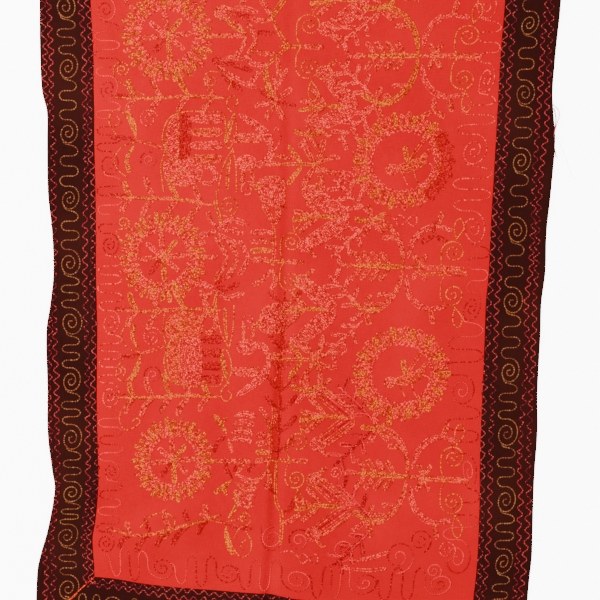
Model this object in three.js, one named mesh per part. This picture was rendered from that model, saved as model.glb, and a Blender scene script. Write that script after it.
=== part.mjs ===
// Embroidered tablecloth: a red centre panel with four dark border strips, mitred at the corners
// and sewn round it. It lies face up on a flat surface, as it settles after being unfolded: a sharp
// crease down the middle deepens towards the near hem, and the outer edges are uneven.
//
// Millimetres, +Z up. The origin is on the surface, under the middle of the cloth's outline.
// +X runs to the right across the cloth and +Y towards its far hem.
//
// Every point of the cloth has two flat measures, as on the cutting table: across, from the crease,
// and along, from the middle of the length. placeOnSurface() turns them into where the cloth lies.

import * as THREE from "three";

// Driving dimensions of the cut cloth
const CLOTH_WIDTH = 914;
const CLOTH_LENGTH = 1372;
const BORDER_WIDTH = 95;
const PANEL_THICKNESS = 1.2;
const BORDER_THICKNESS = 1.6;
const HEM_WIDTH = 8;
const HEM_THICKNESS = 2.4;
const SEAM_GAP = 0.4;

// How the crease stands: a narrow gutter between two soft shoulders
const GUTTER_HALF_WIDTH = 12;
const LEFT_SHOULDER_REACH = 105;
const RIGHT_SHOULDER_REACH = 130;

// How fine the solids are
const CELLS_ALONG_PANEL = 48;
const CELLS_FROM_CREASE_TO_SEAM = 14;
const CREASE_CELL_GROWTH = 1.12;
const CELLS_ACROSS_BORDER = 5;

// Where the sideways seams and edges lie at each distance along the cloth, measured from the middle
// of the outline. creaseHeight is the height of the crease's shoulders, and leftLift and rightLift
// are how far the side edges stand off the surface where the cloth has buckled.
const SIDE_STATIONS = [
  { along: -686, leftEdge: -460, leftSeam: -362, crease: -54, rightSeam: 302, rightEdge: 397, creaseHeight: 11, leftLift: 0, rightLift: 0 },
  { along: -584, leftEdge: -457, leftSeam: -357, crease: -50, rightSeam: 306, rightEdge: 401, creaseHeight: 11, leftLift: 0, rightLift: 0 },
  { along: -549, leftEdge: -450, leftSeam: -359, crease: -47, rightSeam: 310, rightEdge: 404, creaseHeight: 11, leftLift: 1, rightLift: 0 },
  { along: -514, leftEdge: -441, leftSeam: -360, crease: -45, rightSeam: 313, rightEdge: 408, creaseHeight: 10, leftLift: 3, rightLift: 1 },
  { along: -479, leftEdge: -434, leftSeam: -355, crease: -42, rightSeam: 315, rightEdge: 409, creaseHeight: 10, leftLift: 6, rightLift: 2 },
  { along: -409, leftEdge: -425, leftSeam: -350, crease: -39, rightSeam: 317, rightEdge: 411, creaseHeight: 10, leftLift: 9, rightLift: 2 },
  { along: -374, leftEdge: -430, leftSeam: -350, crease: -37, rightSeam: 317, rightEdge: 413, creaseHeight: 10, leftLift: 5, rightLift: 0 },
  { along: -304, leftEdge: -439, leftSeam: -352, crease: -32, rightSeam: 319, rightEdge: 418, creaseHeight: 11, leftLift: 0, rightLift: 0 },
  { along: -234, leftEdge: -439, leftSeam: -353, crease: -30, rightSeam: 322, rightEdge: 418, creaseHeight: 12, leftLift: 0, rightLift: 1 },
  { along: -129, leftEdge: -441, leftSeam: -352, crease: -25, rightSeam: 326, rightEdge: 423, creaseHeight: 12, leftLift: 1, rightLift: 3 },
  { along: -77, leftEdge: -433, leftSeam: -353, crease: -23, rightSeam: 328, rightEdge: 425, creaseHeight: 10, leftLift: 5, rightLift: 1 },
  { along: -24, leftEdge: -427, leftSeam: -354, crease: -22, rightSeam: 333, rightEdge: 432, creaseHeight: 8, leftLift: 9, rightLift: 0 },
  { along: 46, leftEdge: -430, leftSeam: -354, crease: -20, rightSeam: 336, rightEdge: 434, creaseHeight: 6, leftLift: 7, rightLift: 1 },
  { along: 116, leftEdge: -438, leftSeam: -355, crease: -18, rightSeam: 340, rightEdge: 441, creaseHeight: 6, leftLift: 3, rightLift: 4 },
  { along: 204, leftEdge: -439, leftSeam: -357, crease: -16, rightSeam: 345, rightEdge: 448, creaseHeight: 7, leftLift: 5, rightLift: 6 },
  { along: 256, leftEdge: -439, leftSeam: -357, crease: -15, rightSeam: 348, rightEdge: 445, creaseHeight: 6, leftLift: 7, rightLift: 5 },
  { along: 291, leftEdge: -448, leftSeam: -358, crease: -14, rightSeam: 350, rightEdge: 444, creaseHeight: 5, leftLift: 3, rightLift: 3 },
  { along: 361, leftEdge: -452, leftSeam: -359, crease: -12, rightSeam: 354, rightEdge: 450, creaseHeight: 4, leftLift: 1, rightLift: 1 },
  { along: 466, leftEdge: -453, leftSeam: -364, crease: -10, rightSeam: 362, rightEdge: 460, creaseHeight: 4, leftLift: 0, rightLift: 0 },
  { along: 686, leftEdge: -455, leftSeam: -362, crease: -8, rightSeam: 362, rightEdge: 458, creaseHeight: 4, leftLift: 0, rightLift: 0 },
];

// How far the near hem lies up the surface from a straight line, at each distance across the cloth
const NEAR_HEM_STATIONS = [
  { across: -457, rise: 45 },
  { across: -337, rise: 40 },
  { across: -255, rise: 31 },
  { across: -175, rise: 23 },
  { across: -85, rise: 19 },
  { across: 0, rise: 21 },
  { across: 50, rise: 7 },
  { across: 120, rise: 2 },
  { across: 240, rise: 0 },
  { across: 457, rise: 2 },
];
const NEAR_HEM_RISE_REACH = 260;

// Low soft swells left in the cloth: where each is centred, how far it reaches and how high it is
const SWELLS = [
  { x: -255, y: 225, reachX: 70, reachY: 150, height: 3.5, turn: -8 },
  { x: -205, y: -120, reachX: 60, reachY: 190, height: 3, turn: 5 },
  { x: -235, y: -480, reachX: 120, reachY: 60, height: 4, turn: 14 },
  { x: 190, y: 180, reachX: 65, reachY: 130, height: 4, turn: 6 },
  { x: 215, y: -170, reachX: 60, reachY: 160, height: 3.5, turn: -6 },
  { x: 175, y: -520, reachX: 130, reachY: 55, height: 4, turn: -10 },
  { x: 120, y: 480, reachX: 150, reachY: 60, height: 3, turn: 12 },
];

const HALF_WIDTH = CLOTH_WIDTH / 2;
const HALF_LENGTH = CLOTH_LENGTH / 2;
const SEAM_ACROSS = HALF_WIDTH - BORDER_WIDTH;
const SEAM_ALONG = HALF_LENGTH - BORDER_WIDTH;
const HALF_GAP = SEAM_GAP / 2;

const { lerp, smoothstep, degToRad } = THREE.MathUtils;

// A column of a station table, read smoothly between its rows
function readStations(stations, key, at, column) {
  const last = stations.length - 1;
  let row = 0;
  while (row < last - 1 && at > stations[row + 1][key]) row += 1;
  const [before, low, high, after] = [row - 1, row, row + 1, row + 2]
    .map((index) => stations[THREE.MathUtils.clamp(index, 0, last)]);
  const span = high[key] - low[key];
  const share = THREE.MathUtils.clamp((at - low[key]) / span, 0, 1);
  const slopeBetween = (first, second) =>
    first === second ? 0 : (second[column] - first[column]) / (second[key] - first[key]);
  const slopeLow = slopeBetween(before, high) * span;
  const slopeHigh = slopeBetween(low, after) * span;
  const squared = share * share;
  const cubed = squared * share;
  return (
    (2 * cubed - 3 * squared + 1) * low[column] +
    (cubed - 2 * squared + share) * slopeLow +
    (3 * squared - 2 * cubed) * high[column] +
    (cubed - squared) * slopeHigh
  );
}

// Where across the surface a point lies, between the edges, the seams and the crease
function placeAcross(across, along) {
  const side = across < 0 ? "left" : "right";
  const distance = Math.abs(across);
  const read = (column) => readStations(SIDE_STATIONS, "along", along, column);
  if (distance <= SEAM_ACROSS) return lerp(read("crease"), read(`${side}Seam`), distance / SEAM_ACROSS);
  return lerp(read(`${side}Seam`), read(`${side}Edge`), (distance - SEAM_ACROSS) / BORDER_WIDTH);
}

// Where up the surface a point lies: the near hem rises unevenly and the rest runs true
function placeAlong(across, along) {
  const rise = readStations(NEAR_HEM_STATIONS, "across", across, "rise");
  const share = 1 - smoothstep(along, -SEAM_ALONG, -SEAM_ALONG + NEAR_HEM_RISE_REACH);
  return along + rise * share;
}

// The crease's gutter touches the surface, and its shoulders slope away to each side
function creaseLift(x, along) {
  const offset = x - readStations(SIDE_STATIONS, "along", along, "crease");
  const reach = offset < 0 ? LEFT_SHOULDER_REACH : RIGHT_SHOULDER_REACH;
  const height = readStations(SIDE_STATIONS, "along", along, "creaseHeight");
  const distance = Math.abs(offset);
  return height * smoothstep(distance, 0, GUTTER_HALF_WIDTH) * (1 - smoothstep(distance, GUTTER_HALF_WIDTH, reach));
}

function swellLift(x, y) {
  return SWELLS.reduce((sum, swell) => {
    const turn = degToRad(swell.turn);
    const [dx, dy] = [x - swell.x, y - swell.y];
    const u = (dx * Math.cos(turn) + dy * Math.sin(turn)) / swell.reachX;
    const v = (dy * Math.cos(turn) - dx * Math.sin(turn)) / swell.reachY;
    const inside = Math.max(0, 1 - u * u - v * v);
    return sum + swell.height * inside * inside;
  }, 0);
}

// The buckled outer edges stand off the surface, most at the hem
function edgeLift(across, along) {
  const column = across < 0 ? "leftLift" : "rightLift";
  const share = smoothstep(Math.abs(across), SEAM_ACROSS - BORDER_WIDTH / 2, HALF_WIDTH);
  return Math.max(0, readStations(SIDE_STATIONS, "along", along, column)) * share;
}

// The underside of the cloth at a flat point, as it lies
function placeOnSurface(across, along) {
  const x = placeAcross(across, along);
  const y = placeAlong(across, along);
  const z = creaseLift(x, along) + swellLift(x, y) + edgeLift(across, along);
  return new THREE.Vector3(x, y, z);
}

// One closed sheet: an underside and a top of the same grid, with walls round the rim.
// flatPoint(column, row) gives the flat measures of a grid point, and thickness(column, row) its
// cloth's thickness.
function makeSheet(columns, rows, flatPoint, thickness) {
  const positions = [];
  const index = [];
  for (const layer of [0, 1]) {
    for (let row = 0; row < rows; row += 1) {
      for (let column = 0; column < columns; column += 1) {
        const point = placeOnSurface(...flatPoint(column, row));
        positions.push(point.x, point.y, point.z + layer * thickness(column, row));
      }
    }
  }
  const at = (column, row, layer) => (layer * rows + row) * columns + column;
  const quad = (a, b, c, d) => index.push(a, b, c, a, c, d);
  for (let row = 0; row < rows - 1; row += 1) {
    for (let column = 0; column < columns - 1; column += 1) {
      const corner = (layer) => [
        at(column, row, layer),
        at(column + 1, row, layer),
        at(column + 1, row + 1, layer),
        at(column, row + 1, layer),
      ];
      quad(...corner(1));
      quad(...corner(0).reverse());
    }
  }
  for (let column = 0; column < columns - 1; column += 1) {
    const far = rows - 1;
    quad(at(column, 0, 0), at(column + 1, 0, 0), at(column + 1, 0, 1), at(column, 0, 1));
    quad(at(column + 1, far, 0), at(column, far, 0), at(column, far, 1), at(column + 1, far, 1));
  }
  for (let row = 0; row < rows - 1; row += 1) {
    const right = columns - 1;
    quad(at(right, row, 0), at(right, row + 1, 0), at(right, row + 1, 1), at(right, row, 1));
    quad(at(0, row + 1, 0), at(0, row, 0), at(0, row, 1), at(0, row + 1, 1));
  }
  const geometry = new THREE.BufferGeometry();
  geometry.setAttribute("position", new THREE.Float32BufferAttribute(positions, 3));
  geometry.setIndex(index);
  geometry.computeVertexNormals();
  return geometry;
}

// Distances across the panel, close together at the crease and wider towards the seams
const PANEL_COLUMNS = (() => {
  const total = CREASE_CELL_GROWTH ** CELLS_FROM_CREASE_TO_SEAM - 1;
  const side = Array.from({ length: CELLS_FROM_CREASE_TO_SEAM }, (_, cell) =>
    (SEAM_ACROSS * (CREASE_CELL_GROWTH ** (cell + 1) - 1)) / total);
  return [...side.map((distance) => -distance).reverse(), 0, ...side];
})();

// Distances along the panel, evenly spaced
const PANEL_ROWS = Array.from({ length: CELLS_ALONG_PANEL + 1 }, (_, row) =>
  lerp(-SEAM_ALONG, SEAM_ALONG, row / CELLS_ALONG_PANEL));

// Distances in from the outer edge of a border strip: the hem's edge, then even steps to the seam
const BORDER_STEPS = [
  0,
  HEM_WIDTH,
  ...Array.from({ length: CELLS_ACROSS_BORDER }, (_, cell) =>
    lerp(HEM_WIDTH, BORDER_WIDTH, (cell + 1) / CELLS_ACROSS_BORDER)),
];
const BORDER_LAST = BORDER_STEPS.length - 1;

// Draws a measure in from both ends by half of the gap left at a seam
const drawnIn = (distance, half) => distance * ((half - HALF_GAP) / half);

function borderThickness(step) {
  return step === 0 ? HEM_THICKNESS : BORDER_THICKNESS;
}

function centrePanel() {
  return makeSheet(
    PANEL_COLUMNS.length,
    PANEL_ROWS.length,
    (column, row) => [drawnIn(PANEL_COLUMNS[column], SEAM_ACROSS), drawnIn(PANEL_ROWS[row], SEAM_ALONG)],
    () => PANEL_THICKNESS,
  );
}

// A strip down one side. side is -1 for the left and 1 for the right.
function sideBorder(side) {
  const step = (column) => (side < 0 ? column : BORDER_LAST - column);
  return makeSheet(
    BORDER_STEPS.length,
    PANEL_ROWS.length,
    (column, row) => {
      const inset = step(column) === BORDER_LAST ? BORDER_WIDTH - HALF_GAP : BORDER_STEPS[step(column)];
      const mitreHalf = HALF_LENGTH - BORDER_STEPS[step(column)] - HALF_GAP;
      return [side * (HALF_WIDTH - inset), (PANEL_ROWS[row] / SEAM_ALONG) * mitreHalf];
    },
    (column) => borderThickness(step(column)),
  );
}

// A strip along one end. side is -1 for the near end and 1 for the far one.
function endBorder(side) {
  const step = (row) => (side < 0 ? row : BORDER_LAST - row);
  return makeSheet(
    PANEL_COLUMNS.length,
    BORDER_STEPS.length,
    (column, row) => {
      const inset = step(row) === BORDER_LAST ? BORDER_WIDTH - HALF_GAP : BORDER_STEPS[step(row)];
      const mitreHalf = HALF_WIDTH - BORDER_STEPS[step(row)] - HALF_GAP;
      return [(PANEL_COLUMNS[column] / SEAM_ACROSS) * mitreHalf, side * (HALF_LENGTH - inset)];
    },
    (column, row) => borderThickness(step(row)),
  );
}

const redCloth = new THREE.MeshStandardMaterial({ color: 0xd8322f, roughness: 0.85, metalness: 0 });
const darkCloth = new THREE.MeshStandardMaterial({ color: 0x3a1a17, roughness: 0.9, metalness: 0 });

function addPiece(group, name, geometry, material) {
  const piece = new THREE.Mesh(geometry, material);
  piece.name = name;
  group.add(piece);
}

const tablecloth = new THREE.Group();
tablecloth.name = "tablecloth";
addPiece(tablecloth, "centre_panel", centrePanel(), redCloth);
addPiece(tablecloth, "border_left", sideBorder(-1), darkCloth);
addPiece(tablecloth, "border_right", sideBorder(1), darkCloth);
addPiece(tablecloth, "border_near", endBorder(-1), darkCloth);
addPiece(tablecloth, "border_far", endBorder(1), darkCloth);

export default tablecloth;
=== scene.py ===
"""The looks of an embroidered tablecloth, laid out flat with a crease down its middle.

The cloth is drawn as it was cut, in flat millimetres: across, from the crease, and along, from the
middle of its length. Lay turns flat measures into where the cloth lies. The embroidery is a set of
thread lines drawn on the flat cloth, which a Geometry Nodes tree works over in chain stitch.
"""

import logging
import math
from collections.abc import Iterator, Sequence
from dataclasses import dataclass, field
from enum import Enum
from typing import NamedTuple

import bpy
import numpy as np
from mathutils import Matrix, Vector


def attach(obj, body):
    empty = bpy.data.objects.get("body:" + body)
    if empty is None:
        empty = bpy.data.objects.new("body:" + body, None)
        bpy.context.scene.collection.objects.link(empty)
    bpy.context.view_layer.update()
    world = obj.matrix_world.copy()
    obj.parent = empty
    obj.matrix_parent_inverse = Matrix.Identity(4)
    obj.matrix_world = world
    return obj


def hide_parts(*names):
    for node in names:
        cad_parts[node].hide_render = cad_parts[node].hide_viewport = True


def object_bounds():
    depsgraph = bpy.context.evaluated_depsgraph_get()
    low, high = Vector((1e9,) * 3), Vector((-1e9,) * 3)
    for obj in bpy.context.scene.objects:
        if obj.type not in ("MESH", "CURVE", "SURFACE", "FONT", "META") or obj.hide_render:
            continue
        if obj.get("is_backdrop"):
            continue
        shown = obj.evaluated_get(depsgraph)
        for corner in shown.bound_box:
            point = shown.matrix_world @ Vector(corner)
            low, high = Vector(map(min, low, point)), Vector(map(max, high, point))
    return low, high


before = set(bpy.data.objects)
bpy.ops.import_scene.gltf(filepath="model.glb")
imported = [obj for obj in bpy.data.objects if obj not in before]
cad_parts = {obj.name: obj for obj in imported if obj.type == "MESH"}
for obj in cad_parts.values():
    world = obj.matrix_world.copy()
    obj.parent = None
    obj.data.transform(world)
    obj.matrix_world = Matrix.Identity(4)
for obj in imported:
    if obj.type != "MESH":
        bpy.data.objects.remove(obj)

CAD_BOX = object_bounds()
LOG = logging.getLogger("tablecloth")
MM = 0.001
# How much wider than drawn each figure is worked, since the cloth has drawn in across.
WIDENING = 1.06
Array = np.ndarray
Material = bpy.types.Material
Piece = bpy.types.Object
Socket = bpy.types.NodeSocket


def put_in_scene(name: str, data: bpy.types.ID) -> Piece:
    """Makes an object of a mesh, a curve, a lamp or a camera.

    Args:
        name: The object's name.
        data: What it holds.

    Returns:
        The object, which is in the scene.
    """
    made = bpy.data.objects.new(name, data)
    bpy.context.scene.collection.objects.link(made)
    return made


@dataclass(frozen=True)
class Cut:
    """The cloth as it was cut and sewn, in millimetres."""

    width: float = 914.0
    length: float = 1372.0
    border: float = 95.0
    panel_thickness: float = 1.2
    border_thickness: float = 1.6
    hem_thickness: float = 2.4
    hem_width: float = 8.0

    @property
    def half_width(self) -> float:
        """From the crease to a side edge."""
        return self.width / 2

    @property
    def half_length(self) -> float:
        """From the middle to the near or far edge."""
        return self.length / 2

    @property
    def seam_across(self) -> float:
        """From the crease to a side seam."""
        return self.half_width - self.border

    @property
    def seam_along(self) -> float:
        """From the middle to the near or far seam."""
        return self.half_length - self.border


CUT = Cut()


class SideStation(NamedTuple):
    """Where the edges, seams and crease lie at one distance along the cloth, and how high."""

    along: float
    left_edge: float
    left_seam: float
    crease: float
    right_seam: float
    right_edge: float
    crease_height: float
    left_lift: float
    right_lift: float


SIDE_STATIONS = (
    SideStation(-686, -460, -362, -54, 302, 397, 11, 0, 0),
    SideStation(-584, -457, -357, -50, 306, 401, 11, 0, 0),
    SideStation(-549, -450, -359, -47, 310, 404, 11, 1, 0),
    SideStation(-514, -441, -360, -45, 313, 408, 10, 3, 1),
    SideStation(-479, -434, -355, -42, 315, 409, 10, 6, 2),
    SideStation(-409, -425, -350, -39, 317, 411, 10, 9, 2),
    SideStation(-374, -430, -350, -37, 317, 413, 10, 5, 0),
    SideStation(-304, -439, -352, -32, 319, 418, 11, 0, 0),
    SideStation(-234, -439, -353, -30, 322, 418, 12, 0, 1),
    SideStation(-129, -441, -352, -25, 326, 423, 12, 1, 3),
    SideStation(-77, -433, -353, -23, 328, 425, 10, 5, 1),
    SideStation(-24, -427, -354, -22, 333, 432, 7, 9, 0),
    SideStation(46, -430, -354, -20, 336, 434, 5, 7, 1),
    SideStation(116, -438, -355, -18, 340, 441, 4, 3, 4),
    SideStation(204, -439, -357, -16, 345, 448, 4, 5, 6),
    SideStation(256, -439, -357, -15, 348, 445, 3, 7, 5),
    SideStation(291, -448, -358, -14, 350, 444, 3, 3, 3),
    SideStation(361, -452, -359, -12, 354, 450, 2, 1, 1),
    SideStation(466, -453, -364, -10, 362, 460, 2, 0, 0),
    SideStation(686, -455, -362, -8, 362, 458, 2, 0, 0),
)


class HemStation(NamedTuple):
    """How far the near hem and seam lie up the surface from a straight line, at one place across."""

    across: float
    rise: float
    seam_rise: float


NEAR_HEM_STATIONS = (
    HemStation(-457, 45, 37),
    HemStation(-337, 40, 32),
    HemStation(-255, 31, 21),
    HemStation(-175, 23, 14),
    HemStation(-85, 19, 9),
    HemStation(0, 21, 5),
    HemStation(50, 7, -4),
    HemStation(120, 2, -9),
    HemStation(240, 0, -12),
    HemStation(457, 2, -12),
)


class Swell(NamedTuple):
    """A low soft swell left in the cloth: its centre, reach, height and turn in degrees."""

    x: float
    y: float
    reach_x: float
    reach_y: float
    height: float
    turn: float


SWELLS = (
    Swell(-255, 225, 70, 150, 3.5, -8),
    Swell(-205, -120, 60, 190, 3.0, 5),
    Swell(-235, -480, 120, 60, 4.0, 14),
    Swell(190, 180, 65, 130, 4.0, 6),
    Swell(215, -170, 60, 160, 3.5, -6),
    Swell(175, -520, 130, 55, 4.0, -10),
    Swell(120, 480, 150, 60, 3.0, 12),
)


def smoothstep(value: Array, low: float, high: float) -> Array:
    """Rises smoothly from 0 at low to 1 at high.

    Args:
        value: What is measured.
        low: Where the rise starts.
        high: Where the rise ends.

    Returns:
        The share risen at each value.
    """
    share = np.clip((value - low) / (high - low), 0, 1)
    return share * share * (3 - 2 * share)


def read_stations(stations: Sequence[NamedTuple], at: Array, column: str) -> Array:
    """Reads a column of a station table smoothly between its rows.

    Args:
        stations: The table, whose first column is the distance it is read at.
        at: The distances.
        column: The name of the column.

    Returns:
        The column's value at each distance.
    """
    rows = np.array(stations, float)
    keys, values = rows[:, 0], rows[:, stations[0]._fields.index(column)]
    last = len(keys) - 1
    low = np.clip(np.searchsorted(keys, at) - 1, 0, last - 1)
    high, before, after = low + 1, np.maximum(low - 1, 0), np.minimum(low + 2, last)
    span = keys[high] - keys[low]
    share = np.clip((at - keys[low]) / span, 0, 1)
    slope_low = (values[high] - values[before]) / (keys[high] - keys[before]) * span
    slope_high = (values[after] - values[low]) / (keys[after] - keys[low]) * span
    squared, cubed = share**2, share**3
    return (
        (2 * cubed - 3 * squared + 1) * values[low]
        + (cubed - 2 * squared + share) * slope_low
        + (3 * squared - 2 * cubed) * values[high]
        + (cubed - squared) * slope_high
    )


def read_side(flat: Array, line: str) -> Array:
    """Reads a left or a right column of the side stations, by the half that each point lies on.

    Args:
        flat: Points on the flat cloth.
        line: The column's name without its side.

    Returns:
        The column's value at each point.
    """
    columns = (f"left_{line}", f"right_{line}")
    left, right = (read_stations(SIDE_STATIONS, flat[:, 1], column) for column in columns)
    return np.where(flat[:, 0] < 0, left, right)


@dataclass(frozen=True)
class Puckers:
    """The fine unevenness that close stitching and wear leave in a cloth."""

    height: float = 0.9
    waves: int = 14
    shortest: float = 16.0
    longest: float = 70.0
    seed: int = 11

    def lift(self, flat: Array) -> Array:
        """How far the cloth stands up at flat points.

        Args:
            flat: Points on the flat cloth.

        Returns:
            A height from 0 to about the full height at each point.
        """
        random = np.random.default_rng(self.seed)
        total = np.zeros(len(flat))
        for _ in range(self.waves):
            length = random.uniform(self.shortest, self.longest)
            heading = random.uniform(0, math.tau)
            way = np.array([math.cos(heading), math.sin(heading)]) * math.tau / length
            total += np.sin(flat @ way + random.uniform(0, math.tau))
        spread = math.sqrt(self.waves / 2)
        return self.height * np.clip(0.5 + total / spread / 4, 0, 1)


@dataclass(frozen=True)
class Lay:
    """How the cloth lies on the surface, in millimetres."""

    cut: Cut = CUT
    puckers: Puckers = Puckers()
    gutter_half_width: float = 18.0
    gutter_depth: float = 0.5
    left_shoulder_reach: float = 105.0
    right_shoulder_reach: float = 130.0
    near_hem_rise_reach: float = 260.0
    border_draw: float = 0.94
    hem_roll: float = 1.2
    seam_roll: float = 2.5
    seam_thickness: float = 1.0

    def _across(self, flat: Array) -> Array:
        """Where flat points lie across the surface, between the edges, seams and crease.

        Args:
            flat: Points on the flat cloth.

        Returns:
            Distances in millimetres.
        """
        distance = np.abs(flat[:, 0])
        crease = read_stations(SIDE_STATIONS, flat[:, 1], "crease")
        seam, edge = read_side(flat, "seam"), read_side(flat, "edge")
        inside = crease + (seam - crease) * distance / self.cut.seam_across
        outside = seam + (edge - seam) * (distance - self.cut.seam_across) / self.cut.border
        return np.where(distance <= self.cut.seam_across, inside, outside)

    def _along(self, flat: Array) -> Array:
        """Where flat points lie up the surface, with the near hem's uneven rise.

        Args:
            flat: Points on the flat cloth.

        Returns:
            Distances in millimetres.
        """
        near = -self.cut.seam_along
        past = np.clip((near - flat[:, 1]) / self.cut.border, 0, 1)
        rise = read_stations(NEAR_HEM_STATIONS, flat[:, 0], "seam_rise") * (1 - past)
        rise += read_stations(NEAR_HEM_STATIONS, flat[:, 0], "rise") * past
        share = 1 - smoothstep(flat[:, 1], near, near + self.near_hem_rise_reach)
        return flat[:, 1] + rise * share

    def _height(self, flat: Array, x: Array, y: Array) -> Array:
        """How high the underside stands: the crease, the swells, the buckled edges and the puckers.

        Args:
            flat: Points on the flat cloth.
            x: Where they lie across the surface.
            y: Where they lie up the surface.

        Returns:
            Heights in millimetres.
        """
        along = flat[:, 1]
        offset = x - read_stations(SIDE_STATIONS, along, "crease")
        reach = np.where(offset < 0, self.left_shoulder_reach, self.right_shoulder_reach)
        away = np.abs(offset)
        slope = smoothstep(away - self.gutter_half_width, 0, reach - self.gutter_half_width)
        height = read_stations(SIDE_STATIONS, along, "crease_height")
        gutter = self.gutter_depth * (1 - smoothstep(away, 0, self.gutter_half_width))
        lift = height * (1 - gutter) * (1 - slope)
        for swell in SWELLS:
            turn = math.radians(swell.turn)
            dx, dy = x - swell.x, y - swell.y
            u = (dx * math.cos(turn) + dy * math.sin(turn)) / swell.reach_x
            v = (dy * math.cos(turn) - dx * math.sin(turn)) / swell.reach_y
            lift += swell.height * np.clip(1 - u * u - v * v, 0, 1) ** 2
        edge = read_side(flat, "lift")
        start = self.cut.seam_across - self.cut.border / 2
        share = smoothstep(np.abs(flat[:, 0]), start, self.cut.half_width)
        return lift + np.maximum(edge, 0) * share + self.puckers.lift(flat)

    def underside(self, flat: Array) -> Array:
        """Where the underside of flat points lies.

        Args:
            flat: Points on the flat cloth, within its edges.

        Returns:
            Points on the surface that the cloth lies on, in millimetres.
        """
        x, y = self._across(flat), self._along(flat)
        return np.stack([x, y, self._height(flat, x, y)], 1)

    def thickness(self, flat: Array) -> Array:
        """How thick the cloth is at flat points: thin at the seams, thick and rounded at the hem.

        Args:
            flat: Points on the flat cloth.

        Returns:
            The thickness at each point, in millimetres.
        """
        cut = self.cut
        across, along = np.abs(flat[:, 0]), np.abs(flat[:, 1])
        past_seam = np.maximum(across - cut.seam_across, along - cut.seam_along)
        inset = np.minimum(cut.half_width - across, cut.half_length - along)
        hem = 1 - smoothstep(inset, cut.hem_width, cut.hem_width + 2)
        border = cut.border_thickness + (cut.hem_thickness - cut.border_thickness) * hem
        body = np.where(past_seam > 0, border, cut.panel_thickness)
        body = self.seam_thickness + (body - self.seam_thickness) * smoothstep(
            np.abs(past_seam), 0, self.seam_roll
        )
        rounded = 0.55 + 0.45 * np.sqrt(np.clip(inset / self.hem_roll, 0, 1))
        return body * rounded

    def face(self, flat: Array) -> Array:
        """Where the face of the cloth lies at flat points, in millimetres.

        Args:
            flat: Points on the flat cloth.

        Returns:
            Points on the face.
        """
        lying = self.underside(flat)
        lying[:, 2] += self.thickness(flat)
        return lying

    def face_normals(self, flat: Array) -> Array:
        """Which way the face of the cloth looks at flat points.

        Args:
            flat: Points on the flat cloth.

        Returns:
            A unit vector for each point.
        """
        step = 1.5
        across, along = (
            self.face(flat + shift) - self.face(flat - shift)
            for shift in (np.array([step, 0.0]), np.array([0.0, step]))
        )
        normals = np.cross(across, along)
        return normals / np.linalg.norm(normals, axis=1)[:, None]

    def show(self, flat: Array) -> tuple[Array, Array]:
        """Where stitches on a side border show, since the buckled edges curl under out of sight.

        Args:
            flat: Points of a thread line on the flat cloth.

        Returns:
            The points moved to where that much cloth reaches, and whether each still shows.
        """
        cut = self.cut
        past = np.abs(flat[:, 0]) - cut.seam_across
        width = np.abs(read_side(flat, "edge") - read_side(flat, "seam"))
        reached = past * self.border_draw * cut.border / width
        moved = flat.copy()
        outside = past > 0
        moved[outside, 0] = (np.sign(flat[:, 0]) * (cut.seam_across + reached))[outside]
        return moved, np.abs(moved[:, 0]) < cut.half_width - 1


LAY = Lay()


def linear(colour: int) -> tuple[float, float, float, float]:
    """An 0xRRGGBB screen colour as linear red, green, blue and alpha.

    Args:
        colour: The screen colour.

    Returns:
        The four numbers that a shader's colour socket takes.
    """
    parts = [(colour >> shift & 255) / 255 for shift in (16, 8, 0)]
    curve = [c / 12.92 if c <= 0.04045 else ((c + 0.055) / 1.055) ** 2.4 for c in parts]
    return (*curve, 1.0)


class NodeBench:
    """Adds nodes to a tree and joins them in a line or two each."""

    def __init__(self, tree: bpy.types.NodeTree) -> None:
        """Takes a tree and empties it.

        Args:
            tree: The shader or geometry tree to build in.
        """
        self.tree = tree
        tree.nodes.clear()

    def add(self, kind: str, inputs: dict | None = None, **settings: object) -> bpy.types.Node:
        """Adds a node.

        Args:
            kind: The node's type name.
            inputs: By input name or number, either a value or the output socket that feeds it.
            **settings: The node's own properties.

        Returns:
            The new node.
        """
        node = self.tree.nodes.new(kind)
        for name, value in settings.items():
            setattr(node, name, value)
        for key, value in (inputs or {}).items():
            if isinstance(value, Socket):
                self.tree.links.new(value, node.inputs[key])
            else:
                node.inputs[key].default_value = value
        return node

    def math(self, operation: str, *values: object) -> Socket:
        """Adds a Math node and gives its result."""
        return self.add("ShaderNodeMath", dict(enumerate(values)), operation=operation).outputs[0]

    def ramp(self, factor: Socket, stops: Sequence[tuple[float, int]]) -> Socket:
        """Adds a colour ramp.

        Args:
            factor: What it is read at.
            stops: Each stop's place and screen colour, from 0 to 1.

        Returns:
            The ramp's colour.
        """
        node = self.add("ShaderNodeValToRGB", {"Fac": factor})
        elements = node.color_ramp.elements
        while len(elements) < len(stops):
            elements.new(1.0)
        for element, (place, colour) in zip(elements, stops):
            element.position = place
            element.color = linear(colour)
        return node.outputs["Color"]

    def mix(self, blend: str, factor: object, first: object, second: object) -> Socket:
        """Adds a colour mix and gives its result."""
        inputs = {"Factor": factor, 6: first, 7: second}
        return self.add("ShaderNodeMix", inputs, data_type="RGBA", blend_type=blend).outputs[2]

    def attribute(self, name: str, kind: str) -> Socket:
        """Adds a named attribute and gives its value."""
        node = self.add("GeometryNodeInputNamedAttribute", {"Name": name}, data_type=kind)
        return node.outputs["Attribute"]

    def surface(self, inputs: dict) -> None:
        """Ends a material's tree in a surface with the given inputs."""
        shader = self.add("ShaderNodeBsdfPrincipled", inputs)
        self.add("ShaderNodeOutputMaterial", {"Surface": shader.outputs[0]})


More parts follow.
